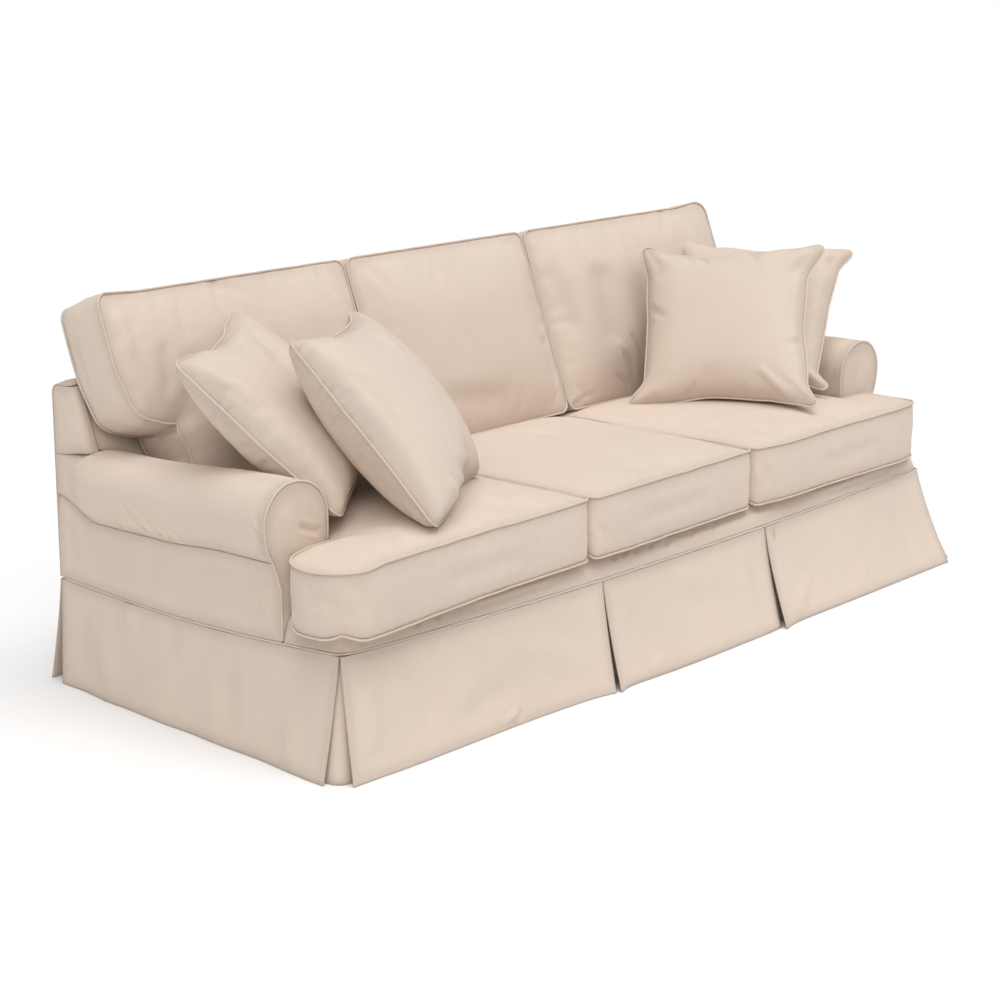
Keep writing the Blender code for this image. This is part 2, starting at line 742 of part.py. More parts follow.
def build_corner_underlay(name, side, front, side_out, end_out):
    """Cloth behind a corner pleat, bent round the corner."""
    edge = 0.0 if front else RAIL_DEPTH
    inward = 1.0 if front else -1.0

    def bend(along, x_out, depth_out, radius):
        share = (along - CORNER_TURN) / (1.0 - 2.0 * CORNER_TURN)
        angle = 0.5 * math.pi * min(1.0, max(0.0, share))
        x = RAIL_HALF + x_out - radius + radius * math.cos(angle)
        depth = depth_out - radius + radius * math.sin(angle)
        if along < CORNER_TURN:
            depth -= CORNER_UNDERLAY_REACH * (CORNER_TURN - along) / CORNER_TURN
        if along > 1.0 - CORNER_TURN:
            x -= CORNER_UNDERLAY_REACH * (along - 1.0 + CORNER_TURN) / CORNER_TURN
        return side * x, edge - inward * depth

    def top_line(along):
        inside = CLOTH + 2.0 * GAP
        x, depth = bend(along, -inside, -inside, RAIL_CORNER)
        seam = side_seam(side, depth) if along < 0.5 or not front else front_seam(x)
        return Vector((x, depth, seam.z - GAP))

    def hem_line(along):
        side_reach = side_out - CORNER_UNDERLAY_SIDE
        end_reach = end_out - CORNER_UNDERLAY_BEHIND
        x, depth = bend(along, side_reach, end_reach, CORNER_UNDERLAY_ROUND)
        return Vector((x, depth, HEM_HEIGHT))

    hang(name, CORNER_UNDERLAY_STEPS, top_line, hem_line, SHADED_COTTON)


# Cushions -------------------------------------------------------------------------------------------


def stations(low, high, corner):
    """Grid places along one side: two inside each rounded corner and even ones between."""
    length = high - low - 2.0 * corner
    inner = [low + corner + length * step / CUSHION_STEPS for step in range(CUSHION_STEPS + 1)]
    return [low, low + CORNER_MARK * corner] + inner + [high - CORNER_MARK * corner, high]


def round_corner(x, y, corner_x, corner_y, across, along):
    """Draw a point in a square corner onto a round one; across and along are signed by the way in."""
    share_x = 1.0 - (x - corner_x) / across
    share_y = 1.0 - (y - corner_y) / along
    if not (0.0 <= share_x <= 1.0 and 0.0 <= share_y <= 1.0):
        return x, y
    round_x = share_x * math.sqrt(1.0 - 0.5 * share_y * share_y)
    round_y = share_y * math.sqrt(1.0 - 0.5 * share_x * share_x)
    return corner_x + across * (1.0 - round_x), corner_y + along * (1.0 - round_y)


def cushion_plan(left, right, low, high, corner, lobe):
    """Cells and corners of a plan; lobe is (far edge, low, high, low radius, high radius) or None."""
    xs = stations(left, right, corner)
    ys = stations(low, high, corner)
    blocks = [(left, right, low, high)]
    corners = [
        (left, low, corner, corner),
        (right, low, -corner, corner),
        (left, high, corner, -corner),
        (right, high, -corner, -corner),
    ]
    if not lobe:
        return xs, ys, blocks, corners
    far, lobe_low, lobe_high, low_radius, high_radius = lobe
    near = left if far < left else right
    inward = 1.0 if far < left else -1.0
    radius = max(low_radius, high_radius)
    xs = sorted(set(xs + [far, far + inward * CORNER_MARK * radius, far + inward * radius]))
    extra = [lobe_low, lobe_low + CORNER_MARK * low_radius, lobe_low + low_radius]
    extra += [lobe_high - high_radius, lobe_high - CORNER_MARK * high_radius, lobe_high]
    kept = [y for y in ys if y in (low, high) or all(abs(y - other) > MARK_ROOM for other in extra)]
    ys = sorted(set(kept + extra))
    beside_low = lobe_low == low
    corners = [row for row in corners if not (row[0] == near and (row[1] == low) == beside_low)]
    corners.append((far, lobe_low, inward * low_radius, low_radius))
    corners.append((far, lobe_high, inward * high_radius, -high_radius))
    blocks.append((min(far, near), max(far, near), lobe_low, lobe_high))
    return xs, ys, blocks, corners


def in_blocks(x, y, blocks):
    """Whether a place lies in one of a plan's rectangles."""
    return any(left < x < right and low < y < high for left, right, low, high in blocks)


def edge_distance(x, y, blocks):
    """Roundest distance from a place to the edge of the rectangles that hold it."""
    best = 0.0
    for left, right, low, high in blocks:
        if left - 1e-6 <= x <= right + 1e-6 and low - 1e-6 <= y <= high + 1e-6:
            best = max(best, min(x - left, right - x, y - low, high - y))
    return best


def ordered_loop(edges):
    """Vertices of a closed chain of edges, in order."""
    links = {}
    for edge in edges:
        for vertex in edge.verts:
            links.setdefault(vertex, []).append(edge.other_vert(vertex))
    start = min(links, key=lambda vertex: (vertex.co.x, vertex.co.y))
    loop = [start, min(links[start], key=lambda vertex: (vertex.co.x, vertex.co.y))]
    while True:
        ahead = [vertex for vertex in links[loop[-1]] if vertex is not loop[-2]][0]
        if ahead is start:
            return loop
        loop.append(ahead)


def outward_offsets(points, distance):
    """Offset of each point of a closed plan loop, so that each side moves out by the distance."""
    area = sum(a.x * b.y - b.x * a.y for a, b in zip(points, points[1:] + points[:1]))
    turn = 1.0 if area > 0.0 else -1.0
    offsets = []
    for index, point in enumerate(points):
        before = (point - points[index - 1]).normalized()
        after = (points[(index + 1) % len(points)] - point).normalized()
        normal = Vector((before.y + after.y, -before.x - after.x)) * turn
        mitre = max(MITRE_LIMIT, math.cos(0.5 * before.angle(after)))
        offsets.append(normal.normalized() * distance / mitre)
    return offsets


def build_cushion(name, plan, top, bottom, to_world, ring_names):
    """Closed cushion: top and bottom skins, a swelling boxing between them and a welt at each seam."""
    xs, ys, blocks, corners = plan
    shape = bmesh.new()
    skins = []
    for height in (top, bottom):
        grid = {}

        def corner_vertex(i, j, height=height, grid=grid):
            if (i, j) not in grid:
                x, y = xs[i], ys[j]
                distance = edge_distance(x, y, blocks)
                for corner in corners:
                    x, y = round_corner(x, y, *corner)
                grid[(i, j)] = shape.verts.new((x, y, height(x, y, distance)))
            return grid[(i, j)]

        faces = []
        for i in range(len(xs) - 1):
            for j in range(len(ys) - 1):
                if in_blocks(0.5 * (xs[i] + xs[i + 1]), 0.5 * (ys[j] + ys[j + 1]), blocks):
                    ring = [(i, j), (i + 1, j), (i + 1, j + 1), (i, j + 1)]
                    faces.append(shape.faces.new([corner_vertex(*spot) for spot in ring]))
        skins.append((grid, faces))
    loops = []
    for grid, faces in skins:
        rim = [edge for face in faces for edge in face.edges if edge.is_boundary]
        loops.append(ordered_loop(set(rim)))
    upper, lower = loops
    plan_points = [Vector((vertex.co.x, vertex.co.y)) for vertex in upper]
    belly = outward_offsets(plan_points, CUSHION_BELLY)
    middle = []
    for above, below, push in zip(upper, lower, belly):
        height = 0.5 * (above.co.z + below.co.z)
        middle.append(shape.verts.new((above.co.x + push.x, above.co.y + push.y, height)))
    count = len(upper)
    for index in range(count):
        ahead = (index + 1) % count
        shape.faces.new((upper[index], middle[index], middle[ahead], upper[ahead]))
        shape.faces.new((middle[index], lower[index], lower[ahead], middle[ahead]))
    reach = WELT_REACH * math.sqrt(0.5)
    shifts = outward_offsets(plan_points, reach)
    for loop, rise, ring_name in ((upper, reach, ring_names[0]), (lower, -reach, ring_names[1])):
        path = [to_world(v.co.x + push.x, v.co.y + push.y, v.co.z + rise) for v, push in zip(loop, shifts)]
        welt(ring_name, path, True)
    for vertex in shape.verts:
        vertex.co = to_world(*vertex.co)
    bmesh.ops.recalc_face_normals(shape, faces=shape.faces)
    mesh_object(name, shape, COTTON)


def swell(distance, reach):
    """Share of the full crown at a distance in from the seam."""
    share = min(1.0, distance / reach)
    return math.sin(0.5 * math.pi * share) ** CROWN_POWER


def seat_point(x, depth, height):
    """Point of a seat cushion, whose front edge bows forward by the table."""
    bow = between(x, SEAT_BOW) * (1.0 - ease(depth, SEAT_FRONT, SEAT_BOW_BACK))
    return place(x, depth - bow, height)


def seat_top(x, depth, distance):
    """Height of a seat cushion's crown, pressed flat under the back cushions."""
    droop = SEAT_DROOP * ease(-x, SEAT_DROOP_START, -SEAT_ROWS[0][3])
    height = SEAT_EDGE - droop + SEAT_CROWN * swell(distance, SEAT_CROWN_REACH)
    if depth < BACK_FOOT_DEPTH - 0.5 * BACK_REAR_REACH:
        return height
    seam_room = 2.0 * WELT_RADIUS * (1.0 - ease(distance, 0.0, 0.5 * BACK_REAR_REACH))
    pressed = BACK_FOOT_HEIGHT - BACK_FOOT_ROOM - (depth - BACK_FOOT_DEPTH) * math.tan(LEAN)
    return min(height, pressed - seam_room)


def seat_bottom(x, depth, distance):
    """Height of a seat cushion's underside, which rests on the deck inside its lower welt."""
    return SEAT_BOTTOM - (SEAT_BOTTOM - SEAT_REST) * ease(distance, 0.0, SEAT_REST_REACH)


def build_seat_cushions():
    """Three seat cushions on the deck; the outer two reach in front of the arms."""
    for name, left, right, far, front_radius, back_radius in SEAT_ROWS:
        lobe = (far, SEAT_FRONT, LOBE_BACK, front_radius, back_radius) if far else None
        plan = cushion_plan(left, right, SEAT_FRONT, SEAT_BACK, SEAT_CORNER, lobe)
        rings = ("welt_" + name + "_top", "welt_" + name + "_bottom")
        build_cushion(name, plan, seat_top, seat_bottom, seat_point, rings)


def draw_in(x, rise):
    """Place (x, rise) of a back cushion's cloth once its ears and its waist beside the arm draw in."""
    body = BACK_ROWS[-1][2]
    outside = ease(abs(x), body - GAP, body + EAR_BLEND)
    ear = EAR_DRAW * (1.0 - ease(rise, EAR_BOTTOM, EAR_DRAW_TOP)) * outside
    beside = ease(abs(x), body - WAIST_REACH, body) * (1.0 - outside)
    waist = WAIST_DRAW * max(0.0, 1.0 - ((rise - WAIST_MIDDLE) / WAIST_HALF) ** 2) * beside
    lift = EAR_RISE * ease(rise, EAR_DRAW_TOP, BACK_CUSHION_HEIGHT) * ease(abs(x), body, body + WAIST_REACH)
    return x - math.copysign(ear + waist, x), rise + lift


def back_point(x, rise, thick):
    """Point of a leaning back cushion, from its foot up and from its rear skin forward."""
    x, rise = draw_in(x, rise)
    sine = math.sin(LEAN)
    cosine = math.cos(LEAN)
    forward = BACK_CUSHION_THICKNESS - thick
    depth = BACK_FOOT_DEPTH + sine * rise + cosine * forward
    return place(x, depth, BACK_FOOT_HEIGHT + cosine * rise - sine * forward)


def back_front(x, rise, distance):
    """Thickness of a back cushion at its crowned front skin."""
    return BACK_CUSHION_THICKNESS + BACK_CROWN * swell(distance, BACK_CROWN_REACH)


def back_rear(x, rise, distance):
    """Thickness at its rear skin, dished to its seam so that it rests on the inside back."""
    return BACK_REAR_DISH * (1.0 - ease(distance, 0.0, BACK_REAR_REACH))


def build_back_cushions():
    """Three leaning back cushions on the seat cushions; the outer two have ears over the arms."""
    for name, left, right, far, low_radius, high_radius in BACK_ROWS:
        lobe = (far, EAR_BOTTOM, BACK_CUSHION_HEIGHT, low_radius, high_radius) if far else None
        plan = cushion_plan(left, right, 0.0, BACK_CUSHION_HEIGHT, BACK_CORNER, lobe)
        rings = ("welt_" + name + "_front", "welt_" + name + "_rear")
        build_cushion(name, plan, back_front, back_rear, back_point, rings)


# Pillows --------------------------------------------------------------------------------------------


def pillow_spot(u, v):
    """Place on a pillow's flat pattern, its edges drawn in between the pointed corners."""
    half = 0.5 * PILLOW_SIDE
    x = half * u * (1.0 - PILLOW_EDGE_DRAW * (1.0 - v * v))
    y = half * v * (1.0 - PILLOW_EDGE_DRAW * (1.0 - u * u))
    return x, y


def pillow_fill(u, v):
    """Share of a pillow's thickness at a place on its pattern."""
    return ((1.0 - u * u) * (1.0 - v * v)) ** PILLOW_FILL_POWER


def build_pillow(name, middle, turn, half_thickness):
    """Knife edge pillow: two skins that meet at the seam, and the welt round it."""
    shape = bmesh.new()
    half_steps = PILLOW_STEPS // 2
    marks = [math.sin(0.5 * math.pi * (step - half_steps) / half_steps) for step in range(PILLOW_STEPS + 1)]
    rim = {}
    for face_way in (1.0, -1.0):
        grid = {}
        for i, u in enumerate(marks):
            for j, v in enumerate(marks):
                on_rim = i in (0, PILLOW_STEPS) or j in (0, PILLOW_STEPS)
                if on_rim and (i, j) in rim:
                    grid[(i, j)] = rim[(i, j)]
                    continue
                x, y = pillow_spot(u, v)
                grid[(i, j)] = shape.verts.new((x, y, face_way * half_thickness * pillow_fill(u, v)))
                if on_rim:
                    rim[(i, j)] = grid[(i, j)]
        for i in range(PILLOW_STEPS):
            for j in range(PILLOW_STEPS):
                ring = (grid[(i, j)], grid[(i + 1, j)], grid[(i + 1, j + 1)], grid[(i, j + 1)])
                shape.faces.new(ring if face_way > 0.0 else ring[::-1])
    last = PILLOW_STEPS
    walk = [(i, 0) for i in range(last)] + [(last, j) for j in range(last)]
    walk += [(last - i, last) for i in range(last)] + [(0, last - j) for j in range(last)]
    edge = [Vector((rim[spot].co.x, rim[spot].co.y)) for spot in walk]
    pushes = outward_offsets(edge, WELT_REACH)
    turning = Euler([math.radians(angle) for angle in turn], "XYZ").to_matrix()
    centre = place(*middle)
    path = [centre + turning @ (spot + push).to_3d() for spot, push in zip(edge, pushes)]
    for vertex in shape.verts:
        vertex.co = centre + turning @ vertex.co
    mesh_object(name, shape, COTTON)
    welt("welt_" + name, path, True)


def build_body_cover():
    """The fitted cover of the frame."""
    build_front_band()
    build_deck()
    build_inside_back()
    build_outside_back()
    for side, name in ((-1, "left"), (1, "right")):
        build_back_side(side, "back_side_" + name)
        build_arm_roll(side, "arm_roll_" + name)
        build_outer_arm(side, "outer_arm_" + name)
        build_facing(side, name)
    welt("welt_skirt", [place(*point) for point in whole_rail()], True)


def build_skirt():
    """Skirt panels and the cloth behind their pleats."""
    for row in FRONT_PANELS:
        build_front_panel(*row)
    build_side_skirt(-1, "skirt_left", LEFT_HEM, LEFT_FRONT_REACH)
    build_side_skirt(1, "skirt_right", RIGHT_HEM, RIGHT_FRONT_REACH)
    build_back_skirt()
    for row in FRONT_UNDERLAYS:
        build_front_underlay(*row)
    build_corner_underlay("underlay_corner_front_left", -1, True, LEFT_HEM[0][1], FRONT_HEM[0][1])
    build_corner_underlay("underlay_corner_front_right", 1, True, RIGHT_HEM[0][1], FRONT_HEM[-1][1])
    build_corner_underlay("underlay_corner_back_left", -1, False, LEFT_HEM[-1][1], BACK_HEM[0][1])
    build_corner_underlay("underlay_corner_back_right", 1, False, RIGHT_HEM[-1][1], BACK_HEM[-1][1])


def main():
    """Clear the scene and build every piece."""
    for item in list(bpy.data.objects):
        bpy.data.objects.remove(item, do_unlink=True)
    build_body_cover()
    build_skirt()
    build_seat_cushions()
    build_back_cushions()
    for row in PILLOW_ROWS:
        build_pillow(*row)


main()
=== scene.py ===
"""Looks of a tailored cotton slipcover for a three seat roll arm sofa.

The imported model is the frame. Each class holds the sizes of one sub-assembly and sews its cloth: the body
cover, the skirt, the boxed seat and back cushions and the four throw pillows. X runs along the sofa, the
front faces -Y and Z is up. Depths are measured back from the front rail, as the maker measures them.
"""

import logging
import math
from dataclasses import dataclass, replace
from enum import Enum
from typing import Callable, ClassVar, Optional, Sequence

import bmesh
import bpy
import numpy as np
from mathutils import Euler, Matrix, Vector


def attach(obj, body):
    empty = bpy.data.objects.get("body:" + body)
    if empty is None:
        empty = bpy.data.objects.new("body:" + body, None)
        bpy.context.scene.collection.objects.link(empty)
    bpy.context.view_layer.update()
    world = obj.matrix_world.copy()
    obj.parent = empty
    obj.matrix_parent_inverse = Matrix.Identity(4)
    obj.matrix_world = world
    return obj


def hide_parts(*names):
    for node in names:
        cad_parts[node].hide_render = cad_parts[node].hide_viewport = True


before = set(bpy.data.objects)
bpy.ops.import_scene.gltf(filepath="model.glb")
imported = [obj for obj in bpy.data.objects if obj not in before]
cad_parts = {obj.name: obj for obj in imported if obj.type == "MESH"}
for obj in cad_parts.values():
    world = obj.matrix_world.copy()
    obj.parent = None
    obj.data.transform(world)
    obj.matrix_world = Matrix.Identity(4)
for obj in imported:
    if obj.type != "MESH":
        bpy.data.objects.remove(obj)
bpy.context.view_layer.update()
log = logging.getLogger("slipcover")

Array = np.ndarray
Spot = tuple[float, float, float]
Table = Sequence[tuple[float, float]]
Corner = tuple[float, float, float, float]
Skin = Callable[[Array, Array, Array], Array]


# Sizes ----------------------------------------------------------------------------------------------


@dataclass(frozen=True)
class ClothSizes:
    """Cloth, welt and the clearance between neighbouring pieces."""

    thickness: float = 0.0018
    solid: float = 0.002
    gap: float = 0.0004
    welt_radius: float = 0.0025
    welt_pitch: float = 0.008
    welt_sides: int = 8
    pitch: float = 0.012
    # Reach of the painted shade beside a seam; folds and unevenness also fade over it.
    seam_shade_reach: float = 0.03

    @property
    def half_solid(self) -> float:
        """Distance from the middle of a solid sheet to its face."""
        return 0.5 * self.solid

    @property
    def welt_reach(self) -> float:
        """Room that a welt takes on each side of its seam."""
        return self.welt_radius + self.gap


@dataclass(frozen=True)
class RailSizes:
    """Closed line, sewn with a welt, that the skirt hangs from."""

    front_y: float = -0.3885
    half: float = 1.067
    depth: float = 0.855
    corner: float = 0.02
    height: float = 0.241
    bulge: float = 0.034
    front_sag: float = 0.009
    side_sag: float = 0.016


@dataclass(frozen=True)
class BackSizes:
    """Frame back and the deck in front of it."""

    deck_top: float = 0.2885
    inner_half: float = 0.937
    top: float = 0.677
    top_front: float = 0.801
    round: float = 0.02
    lean: float = math.radians(20.5)
    join: float = 0.531
    join_back: float = 0.518
    join_room: float = 0.003
    shoulder_reach: float = 0.045
    shoulder_depth: float = 0.45
    shoulder_start: float = 0.60
    belly: float = 0.006
    wrap: float = 0.018
    wrap_lap: float = 0.012
    notch: Table = ((0.945, 0.004), (0.960, 0.004), (1.024, 0.004), (1.031, -0.004))


@dataclass(frozen=True)
class RollSizes:
    """Arm roll: a scroll in front that flattens against the frame back."""

    x: float = 1.028
    z: float = 0.478
    out: float = 0.082
    inside: float = 0.0915
    up: float = 0.081
    down: float = 0.11
    under: float = 0.402
    dip: float = 0.014
    rise: float = 0.028
    sag: float = 0.024
    sag_start: float = 0.20
    sag_end: float = 0.66
    taper_start: float = 0.70
    end_out: float = 0.004
    end_up: float = 0.047
    end_down: float = 0.075
    post_angle: float = math.radians(117.0)
    post_blend: float = 0.745
    facing_depth: float = 0.16


# Sheets with fine folds in plain view, which get a mesh of half the pitch.
FINE_PIECES = ("front_band", "arm_roll_left", "outer_arm_left", "facing_left", "skirt_front_left")

CLOTH = ClothSizes()
RAIL = RailSizes()
BACK = BackSizes()
ROLL = RollSizes()


class Side(Enum):
    """Left or right half of the sofa, as a sign along X."""

    LEFT = -1
    RIGHT = 1

    @property
    def word(self) -> str:
        """The side's name as it stands in node names."""
        return self.name.lower()


class Held(Enum):
    """How a sheet is held."""

    HUNG = "hung"
    STRETCHED = "stretched"


class Slot(Enum):
    """Material slots, one for each finish of the cotton."""

    BODY = "body_cotton"
    CUSHION = "cushion_cotton"
    PILLOW = "pillow_cotton"
    WELT = "welt_cotton"
    UNDERLAY = "underlay_cotton"


# Numbers --------------------------------------------------------------------------------------------


def place(x: Array, depth: Array, height: Array) -> Array:
    """Points in the part's frame.

    Args:
        x: Places along the sofa.
        depth: Depths behind the front rail.
        height: Heights above the floor.

    Returns:
        An array whose last axis is (x, y, z).
    """
    x, depth, height = np.broadcast_arrays(x, np.asarray(depth) + RAIL.front_y, height)
    return np.stack([x, depth, height], axis=-1).astype(float)


def ease(value: Array, low: float, high: float) -> Array:
    """Smooth rise.

    Args:
        value: Where to read it.
        low: The value at which the rise starts, at 0.
        high: The value at which it ends, at 1.

    Returns:
        Shares from 0 to 1.
    """
    share = np.clip((np.asarray(value, dtype=float) - low) / (high - low), 0.0, 1.0)
    return share * share * (3.0 - 2.0 * share)


def between(value: Array, table: Table) -> Array:
    """Read a table, smoothed between its rows.

    Args:
        value: Where to read it.
        table: Pairs of place and amount, in order of place.

    Returns:
        The amounts at those places.
    """
    value = np.asarray(value, dtype=float)
    amount = np.full(value.shape, float(table[0][1]))
    for (low, start), (high, end) in zip(table, table[1:]):
        amount = np.where(value > low, start + (end - start) * ease(value, low, high), amount)
    return amount


def lengths(line: Array) -> Array:
    """Distance along a line of points, from its first."""
    return np.concatenate([[0.0], np.cumsum(np.linalg.norm(np.diff(line, axis=0), axis=1))])


def even_line(line: Array, pitch: float, closed: bool = False) -> Array:
    """Points at even distances along a line.

    Args:
        line: The line's own points.
        pitch: The wanted distance.
        closed: Whether the last point joins the first.

    Returns:
        The new points; a closed line doesn't repeat its first.
    """
    if closed:
        line = np.vstack([line, line[:1]])
    along = lengths(line)
    count = max(4, round(along[-1] / pitch))
    marks = np.linspace(0.0, along[-1], count + 1)
    points = np.stack([np.interp(marks, along, line[:, axis]) for axis in range(3)], axis=1)
    return points[:-1] if closed else points


def smooth_line(line: Array, times: int, closed: bool = False) -> Array:
    """Round off the corners of a line.

    Args:
        line: The line's points.
        times: How often each point moves to the middle of its neighbours.
        closed: Whether the last point joins the first.

    Returns:
        The smoothed points.
    """
    line = line.copy()
    for _ in range(times):
        middle = 0.25 * (np.roll(line, 1, axis=0) + np.roll(line, -1, axis=0)) + 0.5 * line
        if not closed:
            middle[0], middle[-1] = line[0], line[-1]
        line = middle
    return line


def waves(points: Array, pitch: float, seed: int) -> Array:
    """Soft unevenness, from -1 to 1 or so, that rises and falls over about the given pitch.

    Args:
        points: Where to read it, with x, y and z on the last axis.
        pitch: Distance from one rise to the next.
        seed: Picks one of many like patterns.

    Returns:
        One value for each point.
    """
    draw = np.random.RandomState(seed)
    total = np.zeros(points.shape[:-1])
    count = 9
    for _ in range(count):
        way = draw.normal(size=3)
        way *= 2.0 * math.pi / (pitch * draw.uniform(0.7, 1.5)) / np.linalg.norm(way)
        total += np.sin(points @ way + draw.uniform(0.0, 2.0 * math.pi))
    return total * math.sqrt(2.0 / count) * 0.6


# Folds ----------------------------------------------------------------------------------------------


class Ends(Enum):
    """Where a fold fades out: at both ends, or only at its far end when it starts in a seam."""

    BOTH = "both"
    FAR = "far"


FAR = Ends.FAR
# Least half width of a mirrored fold: the right side's mesh is too coarse for a finer one.
MIRRORED_WIDTH = 0.014
# Share of a fold that is kept in the seam itself, where it starts there and where it doesn't.
SEAM_SHARES = {Ends.FAR: 0.55, Ends.BOTH: 0.15}


def mirrored(folds: Sequence["Fold"], shift: float = 0.0) -> tuple["Fold", ...]:
    """The same folds, a little broader, on the sofa's other side, moved along its depth."""
    made = []
    for fold in folds:
        points = tuple((-x, depth + shift, height) for x, depth, height in fold.points)
        made.append(replace(fold, points=points, width=max(fold.width, MIRRORED_WIDTH)))
    return tuple(made)


@dataclass(frozen=True)
class Fold:
    """One soft ridge or trough, laid over the cloth.

    Its points are (x, depth, height) in metres, width is the half width, and height is how far it stands
    proud, or how deep it is when below 0. The cloth dips a little beside it, where it draws from.
    """

    points: tuple[Spot, ...]
    width: float
    height: float
    ends: Ends = Ends.BOTH

    steps: ClassVar[float] = 24.0
    smoothing: ClassVar[int] = 8
    dip: ClassVar[float] = 0.22
    dip_place: ClassVar[float] = 1.9

    @property
    def full_height(self) -> float:
        """Height that is pressed in: low folds are raised more, so that they still show."""
        return (1.25 + 0.9 * math.exp(-((self.height / 0.004) ** 2))) * self.height

    def lift(self, spots: Array) -> Array:
        """Height that the fold adds.

        Args:
            spots: Points of the cloth.

        Returns:
            The height for each point.
        """
        line = place(*np.array(self.points, dtype=float).T)
        line = even_line(line, lengths(line)[-1] / self.steps)
        line = np.array([spots[np.argmin(np.sum((spots - point) ** 2, axis=1))] for point in line])
        line = smooth_line(line, self.smoothing)
        line = line[np.concatenate([[True], np.linalg.norm(np.diff(line, axis=0), axis=1) > 1e-5])]
        run = lengths(line) / lengths(line)[-1]
        best = np.full(len(spots), 1e9)
        share = np.zeros(len(spots))
        for index in range(len(line) - 1):
            start, step = line[index], line[index + 1] - line[index]
            along = np.clip((spots - start) @ step / (step @ step), 0.0, 1.0)
            away = np.linalg.norm(spots - start - along[:, None] * step, axis=1)
            nearer = away < best
            best = np.where(nearer, away, best)
            share = np.where(nearer, run[index] + along * (run[index + 1] - run[index]), share)
        across = best / self.width
        profile = np.exp(-across * across) - self.dip * np.exp(-((across - self.dip_place) ** 2) / 0.5)
        if self.ends is Ends.BOTH:
            fade = ease(share, 0.0, 0.3) * ease(1.0 - share, 0.0, 0.3)
        else:
            fade = ease(1.0 - share, 0.0, 0.75)
        width = np.clip(0.25 + fade, 0.0, 1.0)
        return self.full_height * profile * fade * width


def fold_rows(*rows: Sequence[object]) -> tuple[Fold, ...]:
    """Folds from rows of millimetres.

    Args:
        rows: For each fold its points as x, depth and height in turn, then its half width and its height,
            and FAR where it starts in a seam.

    Returns:
        The folds.
    """
    made = []
    for row in rows:
        ends = row[-1] if row[-1] is FAR else Ends.BOTH
        *spots, width, height = [0.001 * value for value in row if value is not FAR]
        points = tuple(zip(spots[0::3], spots[1::3], spots[2::3]))
        made.append(Fold(points, width, height, ends))
    return tuple(made)


def read_spots(mesh: bpy.types.Mesh) -> Array:
    """Places of a mesh's vertices."""
    spots = np.empty(len(mesh.vertices) * 3)
    mesh.vertices.foreach_get("co", spots)
    return spots.reshape(-1, 3)


def move_spots(mesh: bpy.types.Mesh, spots: Array) -> None:
    """Put a mesh's vertices at new places."""
    mesh.vertices.foreach_set("co", spots.ravel())
    mesh.update()


def seed_of(name: str) -> int:
    """Seed that belongs to a name, so that each piece has an unevenness of its own."""
    return sum(map(ord, name))


def shape_cloth(item: bpy.types.Object, folds: Sequence[Fold], uneven: float, seed: int, fine: bool) -> None:
    """Press folds and soft unevenness into a piece along its normals, and less so towards its seams.

    Args:
        item: The cloth, its faces pointing out.
        folds: Listed ridges and troughs.
        uneven: Height of the soft unevenness.
        seed: Pattern of the unevenness.
        fine: Whether it first gets a mesh of half the pitch.
    """
    if fine:
        refine(item)
    mesh = item.data
    free = 1.0 - seam_nearness(mesh)
    spots = read_spots(mesh)
    normals = np.empty(spots.size, dtype=np.float32)
    mesh.vertex_normals.foreach_get("vector", normals)
    normals = normals.reshape(-1, 3).astype(float)
    lift = uneven * free * (0.65 * waves(spots, 0.34, seed) + 0.35 * waves(spots, 0.11, seed + 1))
    for fold in folds:
        line = place(*np.array(fold.points, dtype=float).T)
        reach = 4.0 * fold.width
        near = np.all((spots > line.min(axis=0) - reach) & (spots < line.max(axis=0) + reach), axis=1)
        if near.any():
            lift[near] += fold.lift(spots[near]) * np.clip(SEAM_SHARES[fold.ends] + free[near], 0.0, 1.0)
    move_spots(mesh, spots + normals * lift[:, None])


# Finishes -------------------------------------------------------------------------------------------


